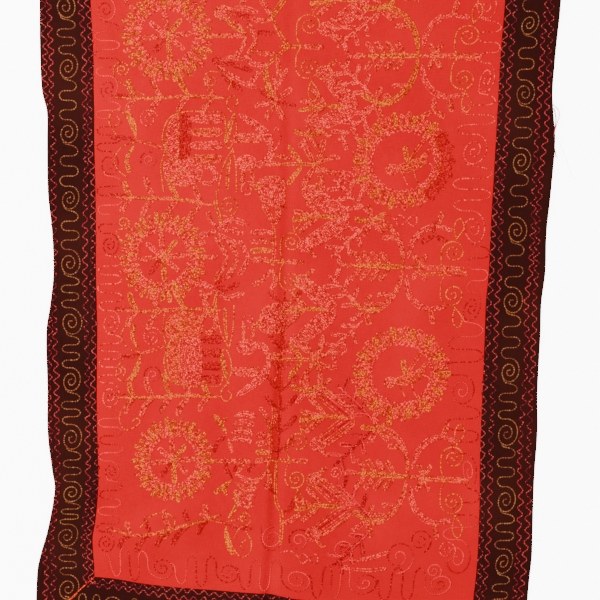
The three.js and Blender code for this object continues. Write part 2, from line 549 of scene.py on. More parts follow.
def start_material(name: str) -> tuple[Material, NodeBench]:
    """Makes an empty material.

    Args:
        name: Its name.

    Returns:
        The material, and the bench that its nodes are added on.
    """
    made = bpy.data.materials.new(name)
    made.use_nodes = True
    return made, NodeBench(made.node_tree)


@dataclass(frozen=True)
class ClothFinish:
    """A plain-woven cloth: its colours, painted shade in its weave, its thread count and how it takes the
    light.
    """

    name: str
    colour: int
    # the darkest colour: painted shade in the low parts of the weave, and the slubs' darker tone
    weave_shade_and_slub: int
    bloom: int
    bloom_share: float
    pitch_mm: float
    # how strongly the painted weave shade shows in the colour
    weave_shade_share: float
    roughness: float

    def material(self) -> Material:
        """Builds the finish.

        Returns:
            A material that reads the piece's Cut map, whose unit is a metre of flat cloth.
        """
        made, bench = start_material(self.name)
        flat = bench.add("ShaderNodeUVMap", uv_map="Cut").outputs["UV"]
        threads = 1 / (self.pitch_mm * MM)
        parts = bench.add("ShaderNodeSeparateXYZ", {0: flat})
        warp, weft = (
            bench.math("SINE", bench.math("MULTIPLY", parts.outputs[axis], math.tau * threads))
            for axis in ("X", "Y")
        )
        weave = bench.math("MULTIPLY_ADD", bench.math("MULTIPLY", warp, weft), 0.5, 0.5)
        slubs = self._stretched_noise(bench, flat, (900, 60, 1))
        picks = self._stretched_noise(bench, flat, (60, 900, 1))
        streaks = bench.math("MULTIPLY", slubs, picks)
        # The low parts of the weave get painted shade, and the slubs darken the yarn at random.
        ground = bench.ramp(
            bench.math("MULTIPLY_ADD", weave, self.weave_shade_share, bench.math("MULTIPLY", streaks, 1.5)),
            ((0.0, self.weave_shade_and_slub), (0.75, self.colour)),
        )
        patchy = {"Vector": flat, "Scale": 6.0, "Detail": 4.0, "Roughness": 0.55}
        clouds = bench.add("ShaderNodeTexNoise", patchy)
        bloomed = bench.ramp(clouds.outputs["Fac"], ((0.42, 0x000000), (0.68, 0xFFFFFF)))
        bloomed = bench.math("MULTIPLY", bloomed, self.bloom_share)
        coloured = bench.mix("MIX", bloomed, ground, linear(self.bloom))
        height = bench.math("MULTIPLY_ADD", streaks, 1.5, weave)
        relief = bench.add("ShaderNodeBump", {"Height": height, "Strength": 0.35, "Distance": 0.12 * MM})
        bench.surface(
            {
                "Base Color": coloured,
                "Roughness": self.roughness,
                "Normal": relief.outputs[0],
                "Specular IOR Level": 0.0,
            }
        )
        return made

    def _stretched_noise(self, bench: NodeBench, flat: Socket, scale: Sequence[float]) -> Socket:
        """Adds noise drawn out along a thread direction, as uneven yarn shows."""
        drawn = bench.add("ShaderNodeMapping", {0: flat, "Scale": scale}).outputs[0]
        return bench.add("ShaderNodeTexNoise", {"Vector": drawn, "Scale": 1.0}).outputs["Fac"]


# Each cloth's second colour is the painted shade of the weave's low parts and the slubs' darker tone.
RED_COTTON = ClothFinish("red_cotton", 0xAA0010, 0x92000B, 0xB40114, 0.5, 0.55, 0.35, 0.9)
DARK_COTTON = ClothFinish("dark_cotton", 0x280E0C, 0x190605, 0x34130F, 0.5, 0.6, 0.5, 0.9)


@dataclass(frozen=True)
class ThreadFinish:
    """A space-dyed embroidery thread: the colours it runs through and over what length, and its painted
    highlight and shade.
    """

    name: str
    dyes: tuple[tuple[float, int], ...]
    dye_run: float
    # a paler colour painted on some stitches at random, as a painted highlight
    painted_glint: int
    # the colour of the painted shade at each stitch's rim and in its hollow
    gap_shade: int = 0x8C020C
    unevenness: float = 0.9
    roughness: float = 0.45

    def material(self) -> Material:
        """Builds the finish.

        Returns:
            A material that reads the stitches' OFBake map: the dye along U, and along V the way
            from a stitch's rim over its strand to its hollow. It paints shade at the rim and in
            the hollow, and a paler highlight on some stitches.
        """
        made, bench = start_material(self.name)
        place = bench.add("ShaderNodeUVMap", uv_map="OFBake").outputs["UV"]
        parts = bench.add("ShaderNodeSeparateXYZ", {0: place})
        dyed = bench.ramp(parts.outputs["X"], self.dyes)
        per_stitch = (self.dye_run / 1.9, 0.6, 1)
        stitches = bench.add("ShaderNodeMapping", {0: place, "Scale": per_stitch}).outputs[0]
        # A noise that changes from stitch to stitch: it gives some stitches the painted highlight and
        # darkens others at random.
        patchy = {"Vector": stitches, "Scale": 1.0, "Detail": 1.0}
        stitch_noise = bench.add("ShaderNodeTexNoise", patchy).outputs["Fac"]
        bright = bench.ramp(stitch_noise, ((0.52, 0x000000), (0.6, 0xFFFFFF)))
        dyed_with_painted_glints = bench.mix("MIX", bright, dyed, linear(self.painted_glint))
        dull = bench.ramp(stitch_noise, ((0.4, 0xA85050), (0.5, 0xFFFFFF)))
        # Painted shade: the rim and the hollow of each stitch turn to the gap shade colour, and the strand
        # between them stays clear.
        strand = bench.ramp(
            parts.outputs["Y"],
            ((0.0, 0x383838), (0.24, 0xFFFFFF), (0.74, 0xFFFFFF), (1.0, 0x484848)),
        )
        shaded = bench.mix("MULTIPLY", self.unevenness, dyed_with_painted_glints, dull)
        bench.surface(
            {
                "Base Color": bench.mix("MIX", strand, linear(self.gap_shade), shaded),
                "Roughness": self.roughness,
                "Specular IOR Level": 0.04,
            }
        )
        return made


class Thread(Enum):
    """The threads on the embroiderer's table."""

    # In each thread, the colour after the dye run is a painted highlight, and the next one, where given, is
    # the painted shade at the stitches' rims and hollows.
    BORDER_GOLD = ThreadFinish(
        "border_gold",
        (
            (0.0, 0x82461E), (0.2, 0x74381C), (0.4, 0x5C2E18),
            (0.55, 0x6E321E), (0.8, 0x663E1C), (1.0, 0x884E24),
        ),
        300,
        0x905A3A,
        0x2C0E0A,
        0.4,
    )
    BORDER_PINK = ThreadFinish(
        "border_pink",
        ((0.0, 0x982A2C), (0.25, 0x841C24), (0.5, 0x6A101C), (0.75, 0x580A18), (1.0, 0x4C0814)),
        240,
        0xAA3A38,
        0x2C0A0A,
        0.35,
    )
    TONE = ThreadFinish(
        "red_tone",
        (
            (0.0, 0x7C020C), (0.4, 0x84020E), (0.55, 0xC80E18),
            (0.75, 0xF8202C), (0.88, 0x90040E), (1.0, 0x7E020C),
        ),
        330,
        0xC80C1A,
        0x7A020A,
        0.3,
    )
    GOLD = ThreadFinish(
        "figure_gold",
        ((0.0, 0xC05A04), (0.25, 0xC8600A), (0.5, 0xD03A06), (0.7, 0x9C4604), (1.0, 0xC8500C)),
        260,
        0xE46C08,
    )
    PALE = ThreadFinish(
        "pale_pink",
        ((0.0, 0xDC231A), (0.3, 0xC81812), (0.55, 0xEA3026), (0.8, 0xB40F0B), (1.0, 0xDE271D)),
        180,
        0xF84036,
    )
    SHADED = ThreadFinish(
        "shaded_salmon",
        (
            (0.0, 0xD2200E), (0.18, 0xBE5407), (0.4, 0xE02A1A),
            (0.55, 0xA81006), (0.75, 0xAC4C06), (1.0, 0xD42614),
        ),
        130,
        0xF03C14,
    )
    DEEP = ThreadFinish(
        "deep_red",
        ((0.0, 0x8C010A), (0.3, 0x9A0209), (0.6, 0x84010A), (0.8, 0xB0060C), (1.0, 0x90010A)),
        150,
        0xC41416,
        0x80010A,
        0.5,
    )
    SEAM = ThreadFinish("seam_orange", ((0.0, 0xD82C08), (0.5, 0xB81C08), (1.0, 0xE8360C)), 120, 0xF04C14)


GOLD, PALE, SHADED, DEEP, TONE = Thread.GOLD, Thread.PALE, Thread.SHADED, Thread.DEEP, Thread.TONE


def smooth(knots: Array, closed: bool = False, step: float = 2.5) -> Array:
    """A smooth line through a few points.

    Args:
        knots: The points.
        closed: Whether the line runs back to its start.
        step: About how far apart the line's own points are.

    Returns:
        The line's points.
    """
    knots = np.asarray(knots, float).reshape(-1, 2)
    if closed:
        ring = np.vstack([knots[-1:], knots, knots[:2]])
    else:
        ring = np.vstack([2 * knots[:1] - knots[1:2], knots, 2 * knots[-1:] - knots[-2:-1]])
    parts = []
    for before, low, high, after in zip(ring, ring[1:], ring[2:], ring[3:]):
        count = max(2, int(np.hypot(*(high - low)) / step) + 1)
        t = np.linspace(0, 1, count, endpoint=False)[:, None]
        bend = 2 * before - 5 * low + 4 * high - after
        twist = 3 * low - before - 3 * high + after
        parts.append(0.5 * (2 * low + (high - before) * t + bend * t**2 + twist * t**3))
    return np.vstack([*parts, knots[:1] if closed else knots[-1:]])


def turned(path: Array, degrees: float) -> Array:
    """A line turned about the origin.

    Args:
        path: The line's points.
        degrees: The turn, anticlockwise.

    Returns:
        The turned line.
    """
    angle = math.radians(degrees)
    spin = np.array([[math.cos(angle), math.sin(angle)], [-math.sin(angle), math.cos(angle)]])
    return path @ spin


def heading(degrees: float) -> Array:
    """The unit direction at an angle from x."""
    return np.array([math.cos(math.radians(degrees)), math.sin(math.radians(degrees))])


def around(angle: Array, reach: Array | float) -> Array:
    """Points about the origin, each at its angle and its reach."""
    return np.stack([np.cos(angle) * reach, np.sin(angle) * reach], 1)


def distance_along(path: Array) -> Array:
    """How far along a line each of its points is."""
    return np.concatenate([[0], np.cumsum(np.hypot(*np.diff(path, axis=0).T))])


def alternating(count: int) -> Array:
    """As many numbers as asked, -1 and 1 in turn."""
    return np.where(np.arange(count) % 2, 1, -1)


def oval(centre: Sequence[float], radii: Sequence[float]) -> Array:
    """An ellipse's outline.

    Args:
        centre: Its middle.
        radii: Its two half-widths.

    Returns:
        The outline's points, open at its end.
    """
    angle = np.linspace(0, math.tau, max(8, int(2 * max(radii))), endpoint=False)
    return around(angle, 1) * radii + np.asarray(centre, float)


def spiral(
    centre: Sequence[float],
    radius: float,
    turns: float,
    start: float = 0,
    hand: int = 1,
    core: float = 0.14,
) -> Array:
    """A spiral line from its outside to its core.

    Args:
        centre: Its middle.
        radius: Its outer radius.
        turns: How often it goes round.
        start: The angle where it starts, in degrees.
        hand: 1 to wind anticlockwise and -1 clockwise.
        core: The core's radius as a share of the outer radius.

    Returns:
        The line's points.
    """
    share = np.linspace(0, 1, max(12, int(turns * 4.2 * radius / 2.0)))
    angle = math.radians(start) + hand * math.tau * turns * share
    reach = radius * (1 - (1 - core) * share)
    return around(angle, reach) + np.asarray(centre, float)


@dataclass(frozen=True)
class Squiggle:
    """The close wriggling rows that fill a patch, uneven as hand work is."""

    spacing: float = 3.2
    pitch: float = 6.0
    swing: float = 0.9

    def rows(self, outline: Array, slant: float, seed: int) -> Iterator[Array]:
        """Fills a shape.

        Args:
            outline: The shape's closed outline.
            slant: How far the rows are turned, in degrees.
            seed: Fixes the unevenness.

        Yields:
            Each line of rows that are worked without a break.
        """
        random = np.random.default_rng(seed)
        level = turned(outline, slant)
        first, second = level, np.roll(level, -1, axis=0)
        done = []
        heights = np.arange(level[:, 1].min() + self.spacing * 0.6, level[:, 1].max() - 1.0, self.spacing)
        for row, height in enumerate(heights):
            cuts = (first[:, 1] - height) * (second[:, 1] - height) < 0
            low, high = first[cuts], second[cuts]
            if len(low) < 2:
                continue
            run, rise = (high - low).T
            places = np.sort(low[:, 0] + run * (height - low[:, 1]) / rise)
            across = np.arange(places[0] + 1.8, places[-1] - 1.2, self.pitch / 2)
            if len(across) < 2:
                continue
            uneven = random.uniform(0.2, 1.2, len(across))
            wave = alternating(len(across)) * self.swing * uneven
            line = np.stack([across + random.normal(0, 0.5, len(across)), height + wave], 1)
            line = line[::-1] if row % 2 else line
            if done and np.hypot(*(line[0] - done[-1][-1])) > 3 * self.spacing:
                yield turned(np.vstack(done), -slant)
                done = []
            done.append(line)
        if done:
            yield turned(np.vstack(done), -slant)


@dataclass(frozen=True)
class Place:
    """Where a figure or a part stands, how it is turned and sized, and whether it is mirrored."""

    x: float = 0.0
    y: float = 0.0
    turn: float = 0.0
    size: float = 1.0
    mirror: bool = False

    def matrix(self) -> Array:
        """The turn, size and mirroring as a matrix that multiplies rows of points."""
        flip = np.diag([self.size, -self.size if self.mirror else self.size])
        return flip @ turned(np.eye(2), self.turn)


class Limb(NamedTuple):
    """A stroke of a drawing: a single line where its width is 0, and else a bar."""

    thread: Thread
    width: float
    route: tuple[float, ...]


def limb(thread: Thread, width: float, *route: float) -> Limb:
    """A stroke from the coordinates of its points, one after another."""
    return Limb(thread, width, route)


@dataclass
class Needle:
    """Gathers the lines to be worked, by thread, from figures drawn in their own millimetres."""

    lines: dict[Thread, list[Array]] = field(default_factory=lambda: {kind: [] for kind in Thread})
    spin: Array = field(default_factory=lambda: np.eye(2))
    origin: Array = field(default_factory=lambda: np.zeros(2))
    patches: list[int] = field(default_factory=lambda: [0])
    squiggle: Squiggle = Squiggle()

    DRAWN_IN = np.diag([WIDENING, 1.0])
    INNER = {Thread.SHADED: Thread.PALE}
    RUNG_PITCH = 5.2
    SOLID_FROM = 10.5

    def figure(self, place: Place) -> "Needle":
        """The same needle at a figure's place, widening the figure as the cloth has drawn in."""
        origin = np.array([place.x, place.y])
        return Needle(self.lines, place.matrix() @ self.DRAWN_IN, origin, self.patches)

    def part(self, place: Place) -> "Needle":
        """The same needle at the place of a figure's part."""
        origin = np.array([place.x, place.y]) @ self.spin + self.origin
        return Needle(self.lines, place.matrix() @ self.spin, origin, self.patches)

    def run(self, thread: Thread, path: Array, closed: bool = False) -> None:
        """Works one line.

        Args:
            thread: The thread.
            path: The line's points.
            closed: Whether it runs back to its start.
        """
        line = np.vstack([path, path[:1]]) if closed else path
        self.lines[thread].append(line @ self.spin + self.origin)

    def bar(self, thread: Thread, route: Sequence[float], width: float) -> None:
        """Works a bar: its outline, narrow at its foot and round at its tip, and its rungs.

        Args:
            thread: The thread.
            route: The coordinates of its middle line's points, one after another.
            width: Its width near the tip; rungs start at 5 mm and a close filling at 10.5 mm.
        """
        spine = smooth(np.array(route), step=3.0)
        run = distance_along(spine)
        share = run / run[-1]
        way = np.gradient(spine, axis=0)
        side = np.stack([-way[:, 1], way[:, 0]], 1) / np.hypot(*way.T)[:, None]
        swell = 0.55 + 0.45 * share**0.6
        half = width / 2 * np.sqrt(np.clip(1 - np.abs(2 * share - 1) ** 4, 0, 1)) * swell
        outline = np.vstack([spine + half[:, None] * side, (spine - half[:, None] * side)[::-1]])
        self.run(thread, outline, closed=True)
        if width >= self.SOLID_FROM:
            chord = spine[-1] - spine[0]
            self._fill(thread, outline, math.degrees(math.atan2(chord[1], chord[0])))
        elif width > 5:
            count = max(3, int(2 * run[-1] / self.RUNG_PITCH))
            at = np.linspace(0.07, 0.94, count)
            middle, across = (
                np.stack([np.interp(at, share, values) for values in pair.T], 1) for pair in (spine, side)
            )
            reach = width * 0.24 * (0.55 + 0.45 * at**0.6) * alternating(count)
            self.run(self.INNER.get(thread, thread), middle + reach[:, None] * across)

    def limbs(self, strokes: Sequence[Limb]) -> None:
        """Works a drawing's strokes.

        Args:
            strokes: The strokes.
        """
        for thread, width, route in strokes:
            if width:
                self.bar(thread, route, width)
            else:
                self.run(thread, smooth(np.array(route)))

    def _fill(self, thread: Thread, outline: Array, slant: float) -> None:
        """Fills an outline with squiggling rows.

        Args:
            thread: The rows' thread.
            outline: The closed outline.
            slant: How far the rows are turned, in degrees.
        """
        self.patches[0] += 1
        for line in self.squiggle.rows(outline, slant, self.patches[0]):
            self.run(thread, line)

    def patch(self, rim: Thread, filling: Thread, outline: Array, slant: float = 0) -> None:
        """Works a filled patch: its rim and the rows in it.

        Args:
            rim: The rim's thread.
            filling: The rows' thread.
            outline: The patch's closed outline.
            slant: How the rows are turned, in degrees.
        """
        self.run(rim, outline, closed=True)
        self._fill(filling, outline, slant)


# How many points draw a wavy ring.
RING_POINTS = 721


@dataclass(frozen=True)
class Wheel:
    """A wheel flower: eight spokes in a ring, with a broad fringe of looped petals."""

    radius: float = 76.0
    spokes: int = 8
    petals: int = 36
    stem: float = 0.0

    def work(self, needle: Needle) -> None:
        """Works the wheel about its own middle.

        Args:
            needle: Works the lines.
        """
        for petal in range(self.petals):
            way = heading(360 * petal / self.petals) * self.radius
            inner_way = heading(360 * (petal + 0.5) / self.petals) * self.radius
            thread = (GOLD, GOLD, SHADED)[petal % 3]
            needle.bar(thread, (*(way * 0.8), *(way * (1.06, 1.0)[petal % 2])), 7.5)
            thread = (SHADED, GOLD, PALE, SHADED)[petal % 4]
            needle.bar(thread, (*(inner_way * 0.63), *(inner_way * 0.82)), 6)
        turn = np.linspace(0, math.tau, RING_POINTS)
        angle = turn + 0.04 * np.sin(41 * turn)
        reach = self.radius * (0.62 + 0.03 * np.cos(41 * turn))
        needle.run(PALE, around(angle, reach))
        for spoke in range(self.spokes):
            way = heading(360 * (spoke + 0.12) / self.spokes) * self.radius
            thread = (SHADED, GOLD, SHADED, PALE, SHADED, DEEP, GOLD, SHADED)[spoke % 8]
            needle.bar(thread, (*(way * 0.04), *(way * (0.58, 0.5)[spoke % 2])), 8.5)
        needle.run(GOLD, spiral((0, 0), 6, 1.5))
        if self.stem:
            needle.bar(SHADED, (self.radius, 0, self.radius + self.stem, 0), 7)


@dataclass(frozen=True)
class SunWheel:
    """A sun: a broad band of rays round a clear middle, where a small bird stands."""

    radius: float = 84.0
    rays: int = 42
    dark_from: float = -52.0
    dark_to: float = 42.0

    RINGS = ((0.72, 0.03, 50, SHADED), (0.67, 0.025, 44, PALE), (0.62, 0.02, 38, PALE))
    BIRD = (
        limb(GOLD, 8, 6, 0, 2, 25),
        limb(SHADED, 5, 10, 0, 22, 20, 34, 38),
        limb(SHADED, 5, 30, 6, 46, 22),
        limb(SHADED, 0, -4, -16, 2, -28, 8, -40),
        limb(SHADED, 0, 18, -14, 22, -30, 30, -44),
        limb(PALE, 0, 36, -2, 48, -8, 44, -28, 34, -40),
    )

    def work(self, needle: Needle) -> None:
        """Works the sun and the bird about the sun's own middle.

        Args:
            needle: Works the lines.
        """
        for ray in range(self.rays):
            degrees = 360 * ray / self.rays - 180
            way = heading(degrees) * self.radius
            dark = self.dark_from < degrees < self.dark_to
            thread = DEEP if dark else (GOLD, SHADED, SHADED)[ray % 3]
            needle.bar(thread, (*(way * 0.74), *(way * (0.97, 1.02)[ray % 2])), 9)
        turn = np.linspace(0, math.tau, RING_POINTS)
        for share, depth, waves, thread in self.RINGS:
            angle = turn + 1.4 * depth * np.sin(waves * turn)
            reach = self.radius * (share + depth * np.cos(waves * turn))
            needle.run(thread, around(angle, reach))
        body = smooth((-12, -12, 6, -2, 26, 6, 38, 12, 36, -4, 20, -16, 2, -20), closed=True)
        needle.patch(SHADED, SHADED, body, slant=20)
        needle.patch(SHADED, PALE, oval((-18, -15), (10, 9)), slant=60)
        needle.limbs(self.BIRD)


@dataclass(frozen=True)
class Elephant:
    """An elephant on its side, back to the left and feet to the right, its head up the cloth."""

    coat: Thread = PALE
    legs: tuple[Thread, ...] = (PALE, SHADED, PALE, SHADED)
    blanket: Thread = DEEP
    leg_root: float = 8.0

    BACK = (-12, -46, -26, -38, -33, -10, -32, 14, -24, 28, -12, 28)
    HEAD = (-36, 34, -18, 27, 8, 27, 26, 34, 30, 54, 18, 70, -10, 73, -33, 62)
    TRUNK = (22, 62, 42, 70, 54, 60, 52, 46, 42, 38, 36, 44)
    FEET = (-44, -21, 2, 25)
    HARNESS = (-38, 82, -42, 40, -35, 12, -39, -14, -28, -44, 0, -56, 40, -56, 66, -53, 72, -23)

    def work(self, needle: Needle) -> None:
        """Works the elephant about the middle of its body.

        Args:
            needle: Works the lines.
        """
        needle.patch(GOLD, self.coat, smooth(self.BACK, closed=True), slant=35)
        root = self.leg_root
        blanket = (-9, -44, -2, -54, root - 4, -54, root + 1, -40, root + 2, -10, root, 16)
        blanket += (root - 6, 27, -8, 27, -11, -8)
        needle.patch(self.blanket, self.blanket, smooth(blanket, closed=True), slant=80)
        needle.patch(SHADED, self.coat, smooth(self.HEAD, closed=True), slant=20)
        for foot, thread in zip(self.FEET, self.legs):
            needle.bar(thread, (root, foot, (root + 66) / 2, foot + 1, 66, foot), 16)
        needle.limbs((limb(self.coat, 8, *self.TRUNK), limb(GOLD, 0, *self.HARNESS)))
        needle.run(GOLD, spiral((-8, 50), 11, 1.6, 90))


class Feathering(Enum):
    """How a bird's body is filled."""

    SQUIGGLES = "wriggling rows"
    QUILLS = "quills lengthwise"


@dataclass(frozen=True)
class BirdPair:
    """Two birds tail to tail whose bodies make an arrowhead, and the twig between them."""

    upper: tuple[float, float] = (-58, 54)
    lower: tuple[float, float] = (-60, -44)
    width: float = 25.0
    feathering: Feathering = Feathering.SQUIGGLES
    coat: Thread = PALE

    OUTLINE = ((0.0, 0.1), (0.16, 0.95), (0.6, 1.0), (0.86, 0.8), (0.9, -0.6), (0.6, -0.9), (0.2, -0.9))
    TWIG = (
        limb(GOLD, 6, -14, 2, -48, 4),
        limb(SHADED, 7, -48, 4, -70, 8, -90, 14),
        limb(SHADED, 8, -48, 6, -60, 20, -72, 34),
        limb(SHADED, 8, -50, 2, -66, -10, -80, -24),
        limb(GOLD, 6, -52, 3, -92, -4),
    )

    def work(self, needle: Needle) -> None:
        """Works both birds about their meeting tails.

        Args:
            needle: Works the lines.
        """
        for head, way in ((self.upper, 1), (self.lower, -1)):
            self._bird(needle, np.array(head, float), way)
        needle.limbs(self.TWIG)

    def _bird(self, needle: Needle, head: Array, way: int) -> None:
        """Works one bird from the point of the arrowhead to its head.

        Args:
            needle: Works the lines.
            head: Where the head is.
            way: 1 for the upper one and -1 for the lower one.
        """
        length = float(np.hypot(*head))
        spine = head / length
        side = np.array([-spine[1], spine[0]]) * -way
        half = self.width / 2
        knots = [spine * reach * length + side * half * offset for reach, offset in self.OUTLINE]
        body = smooth(np.vstack(knots), closed=True)
        slant = math.degrees(math.atan2(spine[1], spine[0]))
        if self.feathering is Feathering.SQUIGGLES:
            needle.patch(self.coat, self.coat, body, slant=slant + 8)
        else:
            needle.run(SHADED, body, True)
            for number, offset in enumerate((-0.55, -0.2, 0.15, 0.5, 0.8)):
                quill = np.outer(np.linspace(0.1, 0.86, 16), head) + side * half * offset
                needle.run((PALE, DEEP, PALE, SHADED, PALE)[number], quill)
        needle.patch(GOLD if way > 0 else PALE, PALE, oval(head, (13, 12)), slant=slant)
        beak = head + np.array([6.0, 12.0 * way])
        needle.bar(SHADED, (*beak, *(beak + (13, 9 * way))), 6)


@dataclass(frozen=True)
class Star:
    """A flower of a few bars about one point."""

    bars: int = 5
    reach: float = 28.0
    width: float = 8.5
    threads: tuple[Thread, ...] = (SHADED, GOLD, PALE)

    def work(self, needle: Needle) -> None:
        """Works the flower about its middle.

        Args:
            needle: Works the lines.
        """
        for bar in range(self.bars):
            way = heading(90 + 360 * bar / self.bars) * self.reach
            needle.bar(self.threads[bar % len(self.threads)], (*(way * 0.1), *way), self.width)


@dataclass(frozen=True)
class Spray:
    """A figure drawn in strokes, some of them worked again below its level stem."""

    once: tuple[Limb, ...] = ()
    twice: tuple[Limb, ...] = ()

    def work(self, needle: Needle) -> None:
        """Works the figure about its own origin.

        Args:
            needle: Works the lines.
        """
        needle.limbs(self.once)
        needle.limbs(self.twice)
        needle.part(Place(mirror=True)).limbs(self.twice)


@dataclass(frozen=True)
class Tree:
    """A tree lying on its side, each part of it set out by rule from a few sizes."""

    length: float = 210.0
    arm: float = 82.0
    bow: float = 66.0
    shoots: int = 4
    shoot: float = 27.0
    horn: float = 56.0
    wood: Thread = GOLD
    arm_width: float = 10.0

    def arc(self, bow: float, rise: float, start: Sequence[float], way: int) -> Array:
        """A quarter of an oval from a start: it sets off across the trunk and bends along it.

        Args:
            bow: How far it bends along the trunk.
            rise: How far it reaches across the trunk.
            start: Where it starts.
            way: 1 for the upper one and -1 for the lower one.

        Returns:
            The points of the arc.
        """
        turn = np.radians(np.linspace(0, 90, 6))
        bend = np.stack([bow * (1 - np.cos(turn)), way * rise * np.sin(turn)], 1)
        return bend + (start[0], way * start[1])

    def work(self, needle: Needle) -> None:
        """Works the tree about where its branches part.

        Args:
            needle: Works the lines.
        """
        half = self.length / 2
        needle.bar(GOLD, (-half * 0.8, 0, 0, 0), 7)
        needle.bar(SHADED, (-half * 0.8, 0, -half, 0), 9)
        needle.bar(SHADED, (0, 0, half, 0), 8)
        for way in (1, -1):
            for number in range(self.shoots):
                foot = np.array((-22.0 - 16 * number, 3 * way))
                needle.bar(SHADED, (*foot, *(foot + heading(180 - 55 * way) * self.shoot)), 8)
            arm = self.arc(-self.bow, self.arm, (0, 4), way)
            needle.bar(self.wood, arm.ravel(), self.arm_width)
            for joint in (2, 3):
                needle.bar(SHADED, (*arm[joint], *(arm[joint] - (self.shoot, 0))), 8)
            Star().work(needle.part(Place(-self.bow, way * self.arm, 14 * way)))
            horn = self.arc(self.horn * 0.8, self.horn, (8, 16), way)
            needle.bar(PALE, horn.ravel(), 10)
            for lean, thread in ((-10, PALE), (75, SHADED)):
                needle.bar(thread, (*horn[-1], *(horn[-1] + heading(lean * way) * self.shoot)), 8)
            for lean in (60, 120):
                foot = np.array((28.0, 3 * way))
                needle.bar(SHADED, (*foot, *(foot + heading(lean * way) * self.shoot * 0.8)), 7)


@dataclass(frozen=True)
class Twig:
    """A twig of one thread that runs down to the left, with level shoots and hanging ones."""

    thread: Thread = PALE
    length: float = 92.0
    shoot: float = 30.0

    def work(self, needle: Needle) -> None:
        """Works the twig from its top, its shoots evenly spaced.

        Args:
            needle: Works the lines.
        """
        down = heading(225) * self.length
        needle.bar(self.thread, (0, 0, *down), 5.5)
        for share in (0.15, 0.42, 0.7):
            level, hanging = down * share, down * (share + 0.12)
            needle.bar(self.thread, (*level, *(level + (-self.shoot, 2))), 7)
            needle.bar(self.thread, (*hanging, *(hanging + heading(-75) * self.shoot * 0.9)), 6.5)


@dataclass(frozen=True)
class Sprig(Spray):
    """Gold loops above and below a short stem, as tendrils curl."""

    once: tuple[Limb, ...] = (
        limb(DEEP, 7, 0, 0, -24, 4, -46, 4),
        limb(GOLD, 0, 0, 0, -12, 30, -30, 52, -46, 46, -48, 28, -38, 12),
        limb(GOLD, 6, -6, 16, -14, 40, -18, 50),
        limb(GOLD, 0, -2, -4, -26, -12, -40, -34, -34, -52, -20, -64),
        limb(GOLD, 6, -6, -12, -18, -34, -14, -58),
        limb(GOLD, 0, -34, 40, -30, 32, -36, 26),
        limb(SHADED, 5, 2, -2, 26, -8, 46, -16),
        limb(GOLD, 6, -2, 6, -4, 22, -12, 44),
    )


@dataclass(frozen=True)
class Bottle(Spray):
    """A long gold bottle in single line: a slender pod over a wide open one."""

    once: tuple[Limb, ...] = (
        limb(GOLD, 0, 2, 65, -9, 38, -12, 15, -4, 7, 6, 25, 8, 47, 2, 65),
        limb(GOLD, 8, -10, 16, -6, 36, -1, 56),
        limb(GOLD, 0, 2, 5, -12, -19, -20, -47, -23, -68),
        limb(GOLD, 0, 2, 5, 8, -25, 9, -68),
        limb(GOLD, 4.5, -2, -10, -6, -35, -7, -66),
        limb(GOLD, 0, 4, 66, -8, 78, -8, 92, 2, 98, 10, 88, 4, 80),
    )


@dataclass(frozen=True)
class RoundHead(Spray):
    """A bird seen from above: a round pale head and a folded body of dark and pale bars."""

    once: tuple[Limb, ...] = (
        limb(DEEP, 11, 12, -2, 34, -6, 58, -12),
        limb(PALE, 9, 12, 8, 36, 8, 60, 0),
        limb(GOLD, 6, 6, -12, 20, -26, 40, -34),
        limb(SHADED, 8, 28, 14, 42, 28, 60, 36),
    )

    def work(self, needle: Needle) -> None:
        """Works the bird about its head."""
        needle.patch(GOLD, PALE, oval((0, 0), (14, 13)), slant=40)
        super().work(needle)


@dataclass(frozen=True)
class KnotSpray(Spray):
    """Dark and pale sprays that sweep to the right out of a dark knot."""

    once: tuple[Limb, ...] = (
        limb(PALE, 9, 6, 2, 32, 6, 60, 2),
        limb(DEEP, 8, 6, -3, 34, -8, 60, -18),
        limb(PALE, 9, 4, -8, 28, -28, 70, -48),
        limb(DEEP, 8, 0, -8, 18, -32, 44, -52),
    )

    def work(self, needle: Needle) -> None:
        """Works the sprays about the knot."""
        needle.patch(DEEP, DEEP, oval((0, 0), (8, 7)))
        super().work(needle)


@dataclass(frozen=True)
class Blossom:
    """A blossom on a gold stem that comes down to it: long petals to the right and a short one left."""

    heart: Thread = PALE

    def work(self, needle: Needle) -> None:
        """Works the blossom about its heart.

        Args:
            needle: Works the lines.
        """
        needle.limbs(
            (
                limb(PALE, 9.5, 2, 4, 26, 17, 56, 8),
                limb(self.heart, 9.5, 6, -1, 26, 0, 46, -8),
                limb(PALE, 11, -2, -2, -16, -6, -32, -12),
                limb(DEEP, 8, -2, 2, 8, 8, 20, 10),
                limb(self.heart, 8, 4, -8, 20, -18, 36, -24),
                limb(GOLD, 5, 6, 8, 2, 28, -6, 50),
                limb(SHADED, 7, -4, 8, -14, 18, -18, 32),
            )
        )


@dataclass(frozen=True)
class CreasePlant(Spray):
    """A bent plant with a forked top, level shoots to the left and a thick gold foot."""

    once: tuple[Limb, ...] = (
        limb(SHADED, 9, 0, 0, -8, 16, -20, 34),
        limb(GOLD, 9, 0, 0, 10, 16, 23, 34),
        limb(GOLD, 5, 0, 0, 16, -32, 30, -51),
        limb(GOLD, 5, 30, -51, 8, -70, -7, -84),
        limb(SHADED, 8, -3, -5, -18, -6, -34, -3),
        limb(DEEP, 8, 8, -28, -6, -28, -24, -26),
        limb(SHADED, 8, 8, -63, -8, -64, -28, -60),
        limb(PALE, 8, -5, -82, -20, -83, -38, -80),
        limb(SHADED, 8, 10, -70, 13, -86, 14, -104),
        limb(GOLD, 10, -7, -84, -8, -104, 2, -142),
        limb(PALE, 8, -10, -86, -22, -98, -36, -116),
        limb(PALE, 7, 4, -104, 12, -118, 28, -90),
    )


